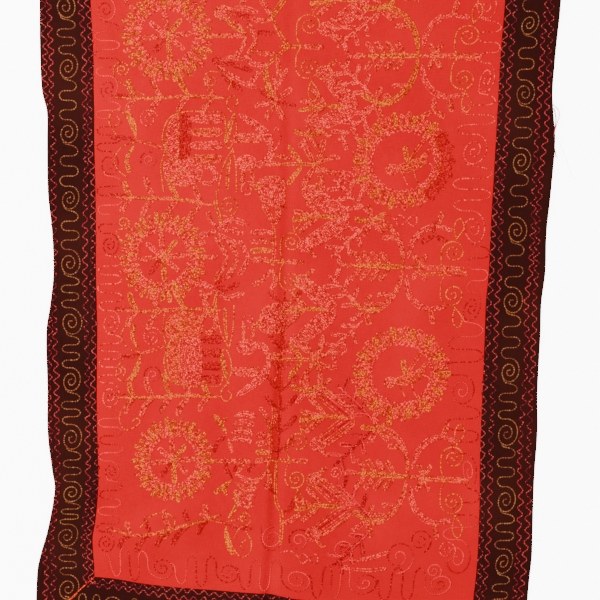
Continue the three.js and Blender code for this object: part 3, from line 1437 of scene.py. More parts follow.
@dataclass(frozen=True)
class Grazer(Spray):
    """A grazing animal with a thick bent neck and a horn, and the dense block it stands by."""

    once: tuple[Limb, ...] = (
        limb(PALE, 15, -44, 30, -22, 16, 2, -4, 12, -26),
        limb(PALE, 12, 10, -22, 12, -38, 0, -54, -18, -60),
        limb(SHADED, 8, -58, -16, -32, -14, -4, -16),
        limb(PALE, 6, -56, -8, -30, -5, -6, -8),
        limb(PALE, 0, 9, -22, 14, -4, 21, 7, 28, -10, 20, -30, 10, -34),
        limb(SHADED, 6, -36, -66, -38, -82, -40, -94),
        limb(SHADED, 6, -22, -66, -20, -82, -22, -94),
        limb(DEEP, 10, 12, -116, 24, -124, 40, -134),
        limb(SHADED, 7, 12, -40, 34, -44, 52, -46),
    )

    GROUND = (-6, -84, 12, -78, 34, -82, 37, -104, 36, -126, 18, -130, -3, -120, -8, -102)

    def work(self, needle: Needle) -> None:
        """Works the animal about its neck.

        Args:
            needle: Works the lines.
        """
        super().work(needle)
        needle.patch(PALE, PALE, oval((-31, -54), (17, 13)), slant=30)
        needle.patch(SHADED, PALE, smooth(self.GROUND, closed=True), slant=70)
        needle.run(PALE, spiral((-28, -101), 16, 1.3, 20))
        needle.run(GOLD, spiral((-12, -96), 8, 1.6))


@dataclass(frozen=True)
class Bush(Spray):
    """A low plant of leaf bars about a level stem."""

    once: tuple[Limb, ...] = (
        limb(GOLD, 5, -64, 0, -30, 2, 0, 0),
        limb(SHADED, 8, -58, 1, -84, 3),
    )
    twice: tuple[Limb, ...] = (
        limb(SHADED, 9, 0, 3, 10, 22, 14, 46),
        limb(SHADED, 8.5, -2, 4, -14, 26, -22, 44),
        limb(SHADED, 8, 4, 2, 22, 12, 42, 14),
        limb(GOLD, 8, -22, 3, -36, 22, -44, 34),
    )


@dataclass(frozen=True)
class CurlPair(Spray):
    """Two gold spirals above and below a short bar, with a hanging drop at each end."""

    once: tuple[Limb, ...] = (limb(GOLD, 5, -34, 0, 2, 0), limb(SHADED, 9, 2, 0, 38, -1))
    twice: tuple[Limb, ...] = (limb(GOLD, 0, 20, 60, 32, 78, 28, 94, 20, 92, 16, 78, 20, 60),)
    gap: float = 37.0
    radius: float = 21.0

    def work(self, needle: Needle) -> None:
        """Works the pair about its bar.

        Args:
            needle: Works the lines.
        """
        super().work(needle)
        for way in (1, -1):
            line = spiral((15, way * self.gap), self.radius, 1.9, 180, -way, 0.1)
            needle.run(GOLD, np.vstack([smooth((2, 0, -5, way * 15, -6, way * 30)), line[1:]]))


@dataclass(frozen=True)
class Curl:
    """A single spiral with a tail."""

    thread: Thread = GOLD
    radius: float = 19.0
    turns: float = 2.0
    start: float = -60.0
    hand: int = 1
    tail: tuple[float, ...] = ()

    def work(self, needle: Needle) -> None:
        """Works the spiral about its own middle.

        Args:
            needle: Works the lines.
        """
        line = spiral((0, 0), self.radius, self.turns, self.start, self.hand)
        if self.tail:
            line = np.vstack([smooth((*self.tail, *line[0])), line[1:]])
        needle.run(self.thread, line)


@dataclass(frozen=True)
class Hook(Spray):
    """A gold line that hangs from a stem and hooks up again."""

    once: tuple[Limb, ...] = (
        limb(GOLD, 0, 0, 0, -17, -17, -20, -36, -10, -50, 6, -46, 18, -36, 12, -30, 5, -34),
    )


@dataclass(frozen=True)
class LeafyStem:
    """A level stem with slanting bar leaves that lean to the left."""

    length: float = 180.0
    leaves: int = 4
    up: float = 42.0
    down: float = 28.0
    rise: float = 0.0
    upper: tuple[Thread, Thread] = (GOLD, SHADED)
    lower: Thread = SHADED

    def work(self, needle: Needle) -> None:
        """Works the stem about its middle.

        Args:
            needle: Works the lines.
        """
        half = self.length / 2
        stem = (-half, 0, -half * 0.4, -2, half * 0.3, 2 + self.rise * 0.4, half, self.rise)
        line = smooth(stem)
        needle.bar(SHADED, stem, 5)
        needle.limbs((limb(DEEP, 8, -half + 28, 1, -half + 12, 2, -half - 6, 3), limb(GOLD, 0, *stem)))
        for leaf in range(self.leaves):
            x, y = line[int(len(line) * (0.2 + 0.7 * leaf / max(1, self.leaves - 1)))]
            up = self.up * (0.75, 1.0, 1.1, 0.8)[leaf % 4]
            down = self.down * (0.9, 1.1, 1.0, 1.2)[leaf % 4]
            needle.limbs(
                (
                    limb(self.upper[leaf % 2], 9, x, y, x - up * 0.3, y + up * 0.5, x - up * 0.42, y + up),
                    limb(self.lower, 9, x, y, x - down * 0.5, y - down * 0.5, x - down * 0.68, y - down),
                )
            )


@dataclass(frozen=True)
class PalmFan:
    """A palm head: a slim gold crest and short pale feathers, one below another."""

    feathers: int = 4
    pitch: float = 14.0

    def work(self, needle: Needle) -> None:
        """Works the fan from the knot at its foot.

        Args:
            needle: Works the lines.
        """
        needle.limbs((limb(GOLD, 8, -2, 8, -10, 24, -20, 42), limb(GOLD, 5, -12, 22, 2, 34)))
        for number in range(self.feathers):
            rise = (self.feathers - 1 - number) * self.pitch
            start = np.array([6 + rise * 0.3, rise - 8])
            route = (*start, *(start + (18, 2)), *(start + (38, -6)))
            needle.bar((PALE, PALE, SHADED, PALE)[number % 4], route, 9.5)
        needle.limbs((limb(DEEP, 8, -2, 2, -20, -8, -30, -24), limb(SHADED, 6, 2, -6, 6, -28)))


@dataclass(frozen=True)
class Chevrons:
    """Arrow-like bars, one inside the other, pointing right."""

    rows: int = 2
    arm: float = 40.0

    def work(self, needle: Needle) -> None:
        """Works the rows from the first one's point.

        Args:
            needle: Works the lines.
        """
        for row in range(self.rows):
            tip, arm = row * 19.0, self.arm * (1 - 0.12 * row)
            for way in (1, -1):
                route = (tip, 0, tip - arm * 0.2, way * arm * 0.4, tip - arm * 0.55, way * arm)
                needle.bar((SHADED, SHADED, PALE)[row % 3], route, 8.5)


@dataclass(frozen=True)
class Rake:
    """An upright stem with level bars to the left and slanting ones on top."""

    bars: int = 4
    gap: float = 16.0
    reach: float = 40.0

    def work(self, needle: Needle) -> None:
        """Works the rake about its middle.

        Args:
            needle: Works the lines.
        """
        top = self.bars * self.gap / 2
        needle.bar(SHADED, (0, -top - 8, 3, 0, 0, top + 6), 5)
        for bar in range(self.bars):
            y = -top + self.gap * (bar + 0.5)
            thread = (SHADED, GOLD, SHADED, PALE)[bar % 4]
            needle.bar(thread, (0, y, -self.reach * 0.5, y + 2, -self.reach, y), 9)
        needle.limbs(
            (
                limb(SHADED, 9, 0, top + 6, -8, top + 24, -20, top + 42),
                limb(SHADED, 9, 2, top + 6, 8, top + 24, 6, top + 42),
                limb(SHADED, 8, 0, -top - 8, -16, -top - 24, -34, -top - 36),
                limb(SHADED, 8, 2, -top - 8, 6, -top - 26, 0, -top - 42),
            )
        )


@dataclass(frozen=True)
class Stalk:
    """An upright stalk with pairs of leaf bars that point up."""

    length: float = 150.0
    pairs: int = 5
    leaf: float = 26.0
    thread: Thread = SHADED

    def work(self, needle: Needle) -> None:
        """Works the stalk about its middle.

        Args:
            needle: Works the lines.
        """
        half = self.length / 2
        needle.bar(self.thread, (0, -half, 0, half), 4.5)
        for pair in range(self.pairs):
            y = -half + self.length * (pair + 0.3) / self.pairs
            for way in (1, -1):
                bend = (way * self.leaf * 0.5, y + self.leaf * 0.4)
                needle.bar(self.thread, (2 * way, y, *bend, way * self.leaf, y + self.leaf), 8)


@dataclass(frozen=True)
class EightLoop:
    """A figure of eight lying on its side, with a tail."""

    thread: Thread = PALE
    length: float = 34.0

    def work(self, needle: Needle) -> None:
        """Works the loop about its crossing.

        Args:
            needle: Works the lines.
        """
        turn = np.linspace(0, math.tau, 40)
        x, y = self.length / 2 * np.sin(turn), self.length / 3.6 * np.sin(2 * turn)
        needle.run(self.thread, np.stack([x, y], 1))
        needle.run(self.thread, smooth((-self.length * 0.5, 0, -self.length, 10, -self.length * 1.5, 6)))


@dataclass(frozen=True)
class Scroll:
    """A running scroll: a spiral that winds in and out again, then level strokes, over and over."""

    thread: Thread
    length: float
    pitch: float
    radius: float
    half_span: float
    strokes: int = 4
    hand: int = 1
    seed: int = 5
    bright: Thread = PALE
    bright_from: float = 0.0
    bright_to: float = 0.0
    widening: float = 1.0
    pinches: tuple[float, ...] = ()
    edge: float = 0.0

    TURNS = 2.0
    CORE = 0.1
    STRETCH = 1.22
    PINCH = 0.48
    PINCH_REACH = 78.0

    def unit(self, pitch: float, random: np.random.Generator) -> Array:
        """The strokes that lead to one spiral, and the spiral, along x.

        Args:
            pitch: The unit's length.
            random: Gives the hand's unevenness.

        Returns:
            The unit's points, from the ring of the spiral before it to the core of its own.
        """
        radius = self.radius * random.uniform(0.86, 1.02)
        lean = random.uniform(-0.2, 0.12)
        half_ring = radius * self.STRETCH
        curl = spiral((0, 0), radius, self.TURNS, 180, -1, self.CORE)
        curl = curl @ np.array(((self.STRETCH, 0), (lean, 1))) + (pitch - half_ring, 0)
        gap = (pitch - 2 * half_ring) / self.strokes
        knots = [(-half_ring * 0.44, -radius * 0.47), (-half_ring * 0.16, -radius * 0.3)]
        for stroke in range(self.strokes):
            way = -1 if stroke % 2 else 1
            x = stroke * gap
            reach = way * self.half_span * random.uniform(0.84, 1.0)
            shoulder = reach * 0.62
            knots += [(x + gap * 0.04, shoulder), (x + gap * 0.5, reach), (x + gap * 0.96, shoulder)]
        return np.vstack([smooth(np.array([*knots, curl[0]])), curl[1:]])

    def pinched(self, points: Array) -> Array:
        """Points drawn towards the seam at the places where other figures need the room.

        Args:
            points: Points of the scroll.

        Returns:
            The points moved.
        """
        share = np.ones(len(points))
        for place in self.pinches:
            share -= self.PINCH * np.exp(-(((points[:, 0] - place) / self.PINCH_REACH) ** 2))
        return np.stack([points[:, 0], self.edge - (self.edge - points[:, 1]) * share], 1)

    def work(self, needle: Needle) -> None:
        """Works the scroll from its start.

        Args:
            needle: Works the lines.
        """
        random = np.random.default_rng(self.seed)
        shares = random.uniform(0.92, 1.08, max(1, round(self.length / self.pitch)))
        shares *= np.linspace(1, self.widening, len(shares))
        ends = np.cumsum(shares / shares.sum()) * self.length
        for start, end in zip((0.0, *ends), ends):
            thread = self.bright if self.bright_from < start < self.bright_to else self.thread
            unit = self.unit(end - start, random) * (1, self.hand) + (start, 0)
            needle.run(thread, self.pinched(unit))


@dataclass(frozen=True)
class Zigzag:
    """Two wavy lines that run side by side and drift a little in and out of step."""

    length: float
    apart: float = 11.5
    pitch: float = 19.5
    swing: float = 4.4
    thread: Thread = Thread.BORDER_PINK
    seed: int = 3

    def work(self, needle: Needle) -> None:
        """Works both lines from their start along x.

        Args:
            needle: Works the lines.
        """
        random = np.random.default_rng(self.seed)
        steps = int(self.length / (self.pitch / 2))
        level = np.linspace(0, self.length, steps + 1)
        for line in (0, 1):
            x = level + random.normal(0, self.pitch * 0.03, steps + 1)
            drift = self._drift(random, steps, 1.4)
            x += line * self._drift(random, steps, 0.18 * self.pitch)
            swing = self.swing * random.uniform(0.8, 1.1, steps + 1) * alternating(steps + 1)
            y = (line - 0.5) * self.apart + swing + drift
            needle.run(self.thread, smooth(np.stack([x, y], 1), step=2.0))

    def _drift(self, random: np.random.Generator, steps: int, spread: float) -> Array:
        """A slow wander about nought, at each step."""
        return np.convolve(random.normal(0, spread * 3.6, steps + 13), np.ones(13) / 13, "valid")


class Figure(NamedTuple):
    """A figure and where it stands."""

    motif: object
    place: Place


def stand(motif: object, *place: float, **more: float) -> Figure:
    """A figure at a place, which is given as Place takes it."""
    return Figure(motif, Place(*place, **more))


@dataclass(frozen=True)
class Embroidery:
    """All the work on the cloth: the figures of the panel and the lines of the borders.

    A line's distance is measured from the seam, and its start and its room from a corner.
    """

    cut: Cut = CUT
    corner_room: float = 90.0
    gold_line: float = 48.0
    end_line: float = 33.0
    end_start: float = 36.0
    end_room: float = 70.0
    gold_start: float = 55.0
    wavy_lines: tuple[float, float] = (12.0, 83.0)

    def left_figures(self) -> Iterator[Figure]:
        """The figures of the left half, from the far end to the near end.

        Yields:
            Each figure.
        """
        yield stand(LeafyStem(186), -220, 470)
        yield stand(Wheel(stem=56), -226, 389)
        yield stand(Chevrons(arm=34), -84, 382)
        yield stand(RoundHead(), -125, 429)
        yield stand(KnotSpray(), -136, 345)
        yield stand(LeafyStem(190, 4, 46), -222, 281)
        yield stand(Curl(GOLD, 15, 1.9, 200, -1, (38, -44, 10, -30, -12, -16)), -310, 330)
        yield stand(Curl(GOLD, 16, 1.3, 60, 1, (30, -16, 34, 0, 20, 12)), -146, 312)
        yield stand(Elephant(), -194, 200, mirror=True)
        yield stand(Sprig(), -283, 207)
        yield stand(Bottle(), -107, 186)
        yield stand(Curl(PALE, 17, 1.8, 20), -262, 243)
        yield stand(Curl(TONE, 16, 1.8, 200, -1), -260, 172)
        yield stand(Grazer(), -46, 221)
        yield stand(LeafyStem(176, 4, 38, 30, -14), -236, 107)
        yield stand(Curl(radius=20, turns=1.9, start=-150, tail=(-22, 26, -20, 4)), -112, 92)
        yield stand(Wheel(stem=22), -235, 2)
        yield stand(Curl(radius=11, turns=1.6, start=-60, tail=(-6, -30, -12, -14)), -310, 62)
        yield stand(Chevrons(3), -112, 0)
        yield stand(Blossom(), -132, 50)
        yield stand(Rake(), -26, 20)
        yield stand(LeafyStem(184, 4, 44, 30), -224, -91)
        yield stand(Blossom(DEEP), -138, -52, mirror=True)
        yield stand(Elephant(SHADED, (DEEP, DEEP, DEEP, DEEP), PALE, 28), -190, -168)
        yield stand(Sprig(), -277, -168, size=0.9, mirror=True)
        yield stand(Bottle(), -108, -152, mirror=True)
        yield stand(Curl(PALE, 18, 1.9, 20), -256, -138)
        yield stand(Curl(TONE, 17, 1.8, 200, -1), -252, -204)
        yield stand(Grazer(), -39, -209, mirror=True)
        marks = (limb(DEEP, 8, 0, 0, -6, -10, -14, -24), limb(DEEP, 8, 28, -2, 20, -12, 10, -24))
        yield stand(Spray(marks), -73, -351)
        yield stand(LeafyStem(196, 5, 36, 30), -224, -242)
        yield stand(Wheel(73, stem=74), -211, -355)
        yield stand(PalmFan(), -104, -312, 8)
        yield stand(PalmFan(), -88, -384, -24, mirror=True)
        yield stand(Rake(4, 15, 24), -20, -332)
        yield stand(LeafyStem(206, 5, 34, 34, 44, (SHADED, DEEP), DEEP), -222, -498)
        yield stand(Hook(), -296, -250)
        yield stand(Hook(), -270, -484, -84, 1.3, mirror=True)
        yield stand(Sprig(), -100, -470, 180, 1.1)
        yield stand(Curl(radius=14, turns=1.4, start=-90, tail=(-16, -34, -10, -20)), -62, -458)

    def crease_figures(self) -> Iterator[Figure]:
        """The figures that stand on the crease or close beside it.

        Yields:
            Each figure.
        """
        yield stand(Star(7, 36, 9, (SHADED, DEEP, PALE, SHADED)), -28, 274)
        yield stand(CreasePlant(), -37, 421)
        yield stand(Stalk(290, 8, 28, DEEP), -2, -205)
        yield stand(Spray((limb(DEEP, 11, 0, 0, 3, -40, 0, -84),)), -4, -72)
        stalk = (
            limb(GOLD, 5, 0, 0, 4, -70, 14, -96, 16, -149),
            limb(DEEP, 8, 14, -96, 26, -86, 34, -66),
            limb(SHADED, 8, 15, -112, 30, -104, 46, -90),
            limb(DEEP, 8, 4, -60, -8, -48, -20, -40),
            limb(DEEP, 0, -22, -120, -18, -146, -6, -160, 10, -158, 16, -146),
        )
        yield stand(Spray(stalk), -4, -353)
        yield stand(CurlPair(), 14, 370)
        yield stand(CurlPair(), -6, -6, size=0.9)
        yield stand(CurlPair(), 20, -353, size=0.85)
        yield stand(Bush(), 46, 163)
        yield stand(Bush(), 56, -178, size=0.95)
        yield stand(Star(5, 26, 8.5), 34, 214)
        yield stand(Star(5, 26, 8.5), 44, -232)
        yield stand(Curl(TONE, 20, 1.8, 90), -4, -492)
        yield stand(Curl(TONE, 20, 2.0, 30), 44, -490)
        yield stand(EightLoop(PALE, 30), 64, -520)

    def right_figures(self) -> Iterator[Figure]:
        """The figures of the right half, from the far end to the near end.

        Yields:
            Each figure.
        """
        yield stand(SunWheel(62), 206, 512)
        yield stand(SunWheel(84), 201, 170)
        yield stand(SunWheel(82, dark_from=0, dark_to=0), 214, -202)
        yield stand(Tree(), 219, 354)
        yield stand(Tree(arm=78, bow=58, wood=SHADED, arm_width=8), 208, -15, -2)
        yield stand(Tree(arm=78, bow=60, wood=SHADED, arm_width=8), 232, -381, -4)
        for x, y, turn in ((286, 352, -3), (283, -27, 2), (298, -386, 0)):
            yield stand(CurlPair(), x, y, turn)
        for x, y, upper, lower in (
            (128, 448, (-58, 54), (-64, -47)),
            (113, 262, (-52, 62), (-58, -28)),
            (107, 69, (-64, 46), (-70, -46)),
            (89, -92, (-56, 51), (-60, -51)),
        ):
            yield stand(BirdPair(upper, lower, 26), x, y)
        for y in (-280, -434):
            yield stand(BirdPair((-60, 48), (-58, -44), 25, Feathering.QUILLS), 131, y)
        dull_twig = Twig(TONE)
        for star, y in ((150, 438), (154, 272), (150, 70), (148, -100), (172, -292), (178, -461)):
            for way in (False, True):
                twig = dull_twig if y < -200 else Twig()
                yield stand(twig, star - 8, y + (10 if way else -10), mirror=way, size=0.92)
        yield stand(Curl(PALE, 14, 1.9), 102, 140)
        yield stand(Curl(PALE, 12, 1.6), 96, -162)
        yield stand(Curl(PALE, 11, 1.7), 104, -375)
        yield stand(EightLoop(), 212, 66)
        yield stand(Star(3, 22, 8, (SHADED,)), 250, 258)
        yield stand(Star(3, 24, 9, (DEEP,)), 262, 40)
        for x, y, radius, thread in (
            (122, -504, 19, TONE),
            (222, -512, 28, TONE),
            (258, -486, 20, TONE),
            (306, -502, 17, PALE),
            (286, -536, 15, TONE),
        ):
            yield stand(Curl(thread, radius, 1.8, 60 + y), x, y)
        blades = (limb(PALE, 6, -30, -8, 0, -4, 34, 8), limb(PALE, 5, -44, -22, 0, -24, 30, -20))
        yield stand(Spray(blades), 170, -512)

    def scrolls(self) -> Iterator[Figure]:
        """The tone-on-tone scrolls inside the seams, and the gold ones along the borders.

        Yields:
            Each scroll.
        """
        cut = self.cut
        for side, inset, radius, half_span, strokes, pitch, widening, bright_from, bright_to, pinches in (
            (-1, 26, 19, 23, 6, 106, 0.85, 540, 800, ()),
            (1, 38, 26, 34, 4, 118, 0.75, -1, 430, (196, 575, 934)),
        ):
            length = 2 * cut.seam_along - self.corner_room
            tone = Scroll(
                TONE,
                length,
                131,
                radius,
                half_span,
                strokes,
                seed=21 + side,
                bright_from=bright_from,
                bright_to=bright_to,
                pinches=pinches,
                edge=inset,
            )
            yield stand(tone, side * (cut.seam_across - inset), length / 2, -90)
            length = 2 * cut.half_length - self.corner_room
            gold = Scroll(Thread.BORDER_GOLD, length, pitch, 21, 16.5, 4, 1, 31 + side, widening=widening)
            yield stand(gold, side * (cut.seam_across + self.gold_line), length / 2, -90)
        widened = cut.seam_across * 2 / WIDENING
        for side in (-1, 1):
            tone = Scroll(TONE, widened - self.end_room, 128, 22, 31, 4, side, seed=41 + side)
            place = Place(self.end_start - cut.seam_across, side * (cut.seam_along - self.end_line))
            yield Figure(tone, place)
            length = (2 * cut.half_width - 2 * self.gold_start) / WIDENING
            gold = Scroll(Thread.BORDER_GOLD, length, 98, 21, 17, 4, side, 51 + side)
            place = Place(self.gold_start - cut.half_width, side * (cut.seam_along + self.gold_line))
            yield Figure(gold, place)

    def zigzags(self) -> Iterator[Figure]:
        """The pairs of wavy lines along the border's outer edge and inner seam.

        Yields:
            Each pair of lines.
        """
        cut = self.cut
        for side in (-1, 1):
            for number, past in enumerate(self.wavy_lines):
                length = 2 * (cut.seam_along + past)
                place = Place(side * (cut.seam_across + past), -length / 2, 90)
                yield Figure(Zigzag(length, seed=60 + 2 * number + side), place)
                length = 2 * (cut.seam_across + past)
                place = Place(-length / 2, side * (cut.seam_along + past))
                yield Figure(Zigzag(length / WIDENING, seed=70 + 2 * number + side), place)

    def mitres(self, needle: Needle) -> None:
        """Works the bright thread that closes each mitre, doubled towards the outer corner.

        Args:
            needle: Works the lines.
        """
        cut = self.cut
        for x in (-1, 1):
            for y in (-1, 1):
                inner = np.array([x * cut.seam_across, y * cut.seam_along])
                outer = np.array([x * cut.half_width, y * cut.half_length])
                for begin, end, shift in ((0.0, 0.97, 0.0), (0.35, 0.9, 1.6), (0.6, 0.86, -1.6)):
                    share = np.linspace(begin, end, 24)[:, None]
                    aside = np.array([shift, -shift * x * y])
                    needle.run(Thread.SEAM, inner + (outer - inner) * share + aside)

    def work(self, needle: Needle) -> None:
        """Works every figure.

        Args:
            needle: Gathers the thread lines.
        """
        edges = (self.scrolls, self.zigzags)
        for figures in (*edges, self.left_figures, self.crease_figures, self.right_figures):
            for figure in figures():
                figure.motif.work(needle.figure(figure.place))
        self.mitres(needle)


@dataclass(frozen=True)
class StitchTree:
    """The Geometry Nodes tree that works thread lines over in chain stitch."""

    stitch_length: float = 4.4 * MM
    unevenness: float = 0.12
    seed: int = 7

    NAME = "chain_stitch"

    def build(self) -> bpy.types.NodeTree:
        """Builds the tree.

        Returns:
            The tree, with inputs for the link, its spacing, unevenness, seed and finish.
        """
        tree = bpy.data.node_groups.new(self.NAME, "GeometryNodeTree")
        bench = NodeBench(tree)
        sockets = tree.interface
        sockets.new_socket("Geometry", in_out="INPUT", socket_type="NodeSocketGeometry")
        for name, kind in (
            ("Link", "NodeSocketObject"),
            ("Stitch Length", "NodeSocketFloat"),
            ("Unevenness", "NodeSocketFloat"),
            ("Seed", "NodeSocketInt"),
            ("Finish", "NodeSocketMaterial"),
        ):
            sockets.new_socket(name, in_out="INPUT", socket_type=kind)
        sockets.new_socket("Geometry", in_out="OUTPUT", socket_type="NodeSocketGeometry")
        given = bench.add("NodeGroupInput").outputs
        lines = bench.add("GeometryNodeMeshToCurve", {0: given["Geometry"]}).outputs[0]
        spaced = bench.add(
            "GeometryNodeResampleCurve",
            {"Curve": lines, "Length": given["Stitch Length"]},
            mode="LENGTH",
        ).outputs[0]
        turn, size = self._unevenly(bench, given)
        link = bench.add("GeometryNodeObjectInfo", {"Object": given["Link"]}).outputs["Geometry"]
        placed = bench.add(
            "GeometryNodeInstanceOnPoints",
            {"Points": spaced, "Instance": link, "Rotation": turn, "Scale": size},
        ).outputs[0]
        real = bench.add("GeometryNodeRealizeInstances", {0: placed}).outputs[0]
        # The map's V, from a link's rim to its hollow, is where the thread finish paints shade.
        dye, along, rim = (bench.attribute(name, "FLOAT") for name in ("dye", "link_along", "link_rim"))
        spot = bench.math("MULTIPLY_ADD", along, 0.012, bench.math("MULTIPLY_ADD", dye, 0.97, 0.008))
        look = bench.add("ShaderNodeCombineXYZ", {"X": spot, "Y": rim}).outputs[0]
        mapped = bench.add(
            "GeometryNodeStoreNamedAttribute",
            {"Geometry": real, "Name": "OFBake", "Value": look},
            data_type="FLOAT2",
            domain="CORNER",
        ).outputs[0]
        dressed = bench.add("GeometryNodeSetMaterial", {"Geometry": mapped, "Material": given["Finish"]})
        bench.add("NodeGroupOutput", {0: dressed.outputs[0]})
        return tree

    def _unevenly(self, bench: NodeBench, given: bpy.types.NodeInputs) -> tuple[Socket, ...]:
        """Adds the nodes that turn and size each stitch, a little unevenly.

        Args:
            bench: The tree being built.
            given: The tree's inputs.

        Returns:
            The turn and the size of each stitch.
        """
        onward = bench.add("GeometryNodeInputTangent").outputs[0]
        upward = bench.attribute("face_normal", "FLOAT_VECTOR")
        ahead = bench.add("FunctionNodeAlignRotationToVector", {"Vector": onward}, axis="X")
        level = bench.add(
            "FunctionNodeAlignRotationToVector",
            {"Rotation": ahead.outputs[0], "Vector": upward},
            axis="Z",
            pivot_axis="X",
        )
        least = bench.math("MULTIPLY", given["Unevenness"], -1.0)
        askew = bench.add(
            "FunctionNodeRandomValue",
            {2: least, 3: given["Unevenness"], "Seed": given["Seed"]},
            data_type="FLOAT",
        ).outputs[1]
        yaw = bench.add("ShaderNodeCombineXYZ", {"Z": askew}).outputs[0]
        swing = bench.add("FunctionNodeEulerToRotation", {0: yaw}).outputs[0]
        turn = bench.add(
            "FunctionNodeRotateRotation",
            {"Rotation": level.outputs[0], "Rotate By": swing},
            rotation_space="LOCAL",
        ).outputs[0]
        sized = bench.add(
            "FunctionNodeRandomValue",
            {"Min": (0.92, 0.84, 0.7), "Max": (1.1, 1.12, 1.2), "Seed": given["Seed"]},
            data_type="FLOAT_VECTOR",
        ).outputs[0]
        return turn, sized


@dataclass(frozen=True)
class ChainLink:
    """One chain stitch: a drop-shaped loop of thread with a hollow middle."""

    tail: float = 2.5 * MM
    head: float = 2.8 * MM
    half_width: float = 1.3 * MM
    height: float = 0.8 * MM
    sunk: float = 0.1 * MM
    crest: float = 0.55
    hollow: float = 0.28

    def build(self) -> Piece:
        """Builds the link about its needle hole, along x.

        Returns:
            An object that the stitch tree copies.
        """
        rim = [
            (-self.tail, 0.0),
            (0.0, self.half_width),
            (self.head * 0.9, self.half_width * 0.6),
            (self.head * 0.9, -self.half_width * 0.6),
            (0.0, -self.half_width),
        ]
        middle = self.head * 0.25
        places = [(x, y, -self.sunk) for x, y in rim]
        places += [(middle + (x - middle) * self.crest * 1.15, y * self.crest, self.height) for x, y in rim]
        places.append((middle, 0.0, self.height * self.hollow))
        sides = len(rim)
        faces = []
        for corner in range(sides):
            after = (corner + 1) % sides
            faces += [
                (corner, after, sides + after)[::-1],
                (corner, sides + after, sides + corner)[::-1],
                (sides + corner, sides + after, 2 * sides)[::-1],
            ]
        mesh = bpy.data.meshes.new("chain_link")
        mesh.from_pydata(places, [], faces)
        along = [(x + self.tail) / (self.tail + self.head) for x, _, _ in places]
        # Where each point lies from the rim over the crest to the hollow, by which the thread finish paints
        # shade at the rim and in the hollow.
        rims = [0.03] * sides + [0.5] * sides + [0.97]
        for name, values in (("link_along", along), ("link_rim", rims)):
            mesh.attributes.new(name, "FLOAT", "POINT").data.foreach_set("value", values)
        mesh.shade_smooth()
        return put_in_scene("chain_link", mesh)


@dataclass
class StitchWork:
    """The pieces of stitching, one for each thread, or more where one is long."""

    lay: Lay = LAY
    tree: StitchTree = StitchTree()
    link: ChainLink = ChainLink()
    most_lines_length: float = 30_000.0
    raise_above_cloth: float = 0.08
    seed: int = 17

    def visible(self, line: Array) -> Iterator[Array]:
        """Cuts a thread line where the curled edges hide it.

        Args:
            line: Points on the flat cloth.

        Yields:
            Each part that shows, of two points or more.
        """
        moved, shows = self.lay.show(line)
        cuts = np.flatnonzero(np.diff(shows.astype(int))) + 1
        for part, seen in zip(np.split(moved, cuts), np.split(shows, cuts)):
            if seen[0] and len(part) > 1:
                yield part

    def split(self, lines: list[Array]) -> Iterator[list[Array]]:
        """Shares lines out so that no piece has too many stitches.

        Args:
            lines: Lines on the flat cloth.

        Yields:
            Each share of the lines.
        """
        share, length = [], 0.0
        for line in lines:
            share.append(line)
            length += float(np.hypot(*np.diff(line, axis=0).T).sum())
            if length > self.most_lines_length:
                yield share
                share, length = [], 0.0
        if share:
            yield share

    def carrier(self, name: str, lines: list[Array], dye_run: float) -> Piece:
        """Builds an object whose edges are the thread lines as they lie.

        Args:
            name: The piece's name.
            lines: Lines on the flat cloth.
            dye_run: The length of thread over which its colours run.

        Returns:
            The object, with the dye and the cloth's normal at each point.
        """
        random = np.random.default_rng(self.seed)
        flat = np.vstack(lines)
        lying = self.lay.face(flat)
        normals = self.lay.face_normals(flat)
        lying += normals * self.raise_above_cloth
        edges, dyes, start = [], [], 0
        for line in lines:
            edges.append(np.stack([np.arange(len(line) - 1), np.arange(1, len(line))], 1) + start)
            start += len(line)
            turns = distance_along(line) / dye_run + random.uniform(0, 2)
            dyes.append(1 - np.abs(turns % 2 - 1))
        mesh = bpy.data.meshes.new(name)
        mesh.from_pydata((lying * MM).tolist(), np.vstack(edges).tolist(), [])
        mesh.attributes.new("dye", "FLOAT", "POINT").data.foreach_set("value", np.concatenate(dyes))
        up = mesh.attributes.new("face_normal", "FLOAT_VECTOR", "POINT")
        up.data.foreach_set("vector", normals.astype(np.float32).ravel())
        return put_in_scene(name, mesh)

    def stitch(self, made: Piece, link: Piece, tree: bpy.types.NodeTree, finish: Material) -> None:
        """Works an object's lines over in chain stitch and leaves it a plain mesh.

        Args:
            made: The object whose edges are the lines.
            link: The link that is copied.
            tree: The stitch tree.
            finish: The thread's material.
        """
        modifier = made.modifiers.new("chain_stitch", "NODES")
        modifier.node_group = tree
        values = {
            "Link": link,
            "Stitch Length": self.tree.stitch_length,
            "Unevenness": self.tree.unevenness,
            "Seed": self.tree.seed,
            "Finish": finish,
        }
        for item in tree.interface.items_tree:
            if item.in_out == "INPUT" and item.name in values:
                modifier[item.identifier] = values[item.name]
        depsgraph = bpy.context.evaluated_depsgraph_get()
        worked = bpy.data.meshes.new_from_object(
            made.evaluated_get(depsgraph), preserve_all_data_layers=True, depsgraph=depsgraph
        )
        made.modifiers.clear()
        lines = made.data
        made.data = worked
        bpy.data.meshes.remove(lines)
        for name in ("link_along", "link_rim", "face_normal", "dye"):
            if name in worked.attributes:
                worked.attributes.remove(worked.attributes[name])
        worked.name = made.name

    def build(self, needle: Needle) -> list[Piece]:
        """Works all the gathered lines.

        Args:
            needle: The needle that gathered them.

        Returns:
            The pieces.
        """
        link = self.link.build()
        tree = self.tree.build()
        pieces = []
        for thread, lines in needle.lines.items():
            shown = [part for line in lines for part in self.visible(line)]
            finish = thread.value.material()
            for number, share in enumerate(self.split(shown), 1):
                made = self.carrier(f"{thread.value.name}_stitches_{number}", share, thread.value.dye_run)
                self.stitch(made, link, tree, finish)
                LOG.info("%s: %d lines, %d triangles", made.name, len(share), len(made.data.polygons))
                pieces.append(made)
        bpy.data.objects.remove(link)
        return pieces


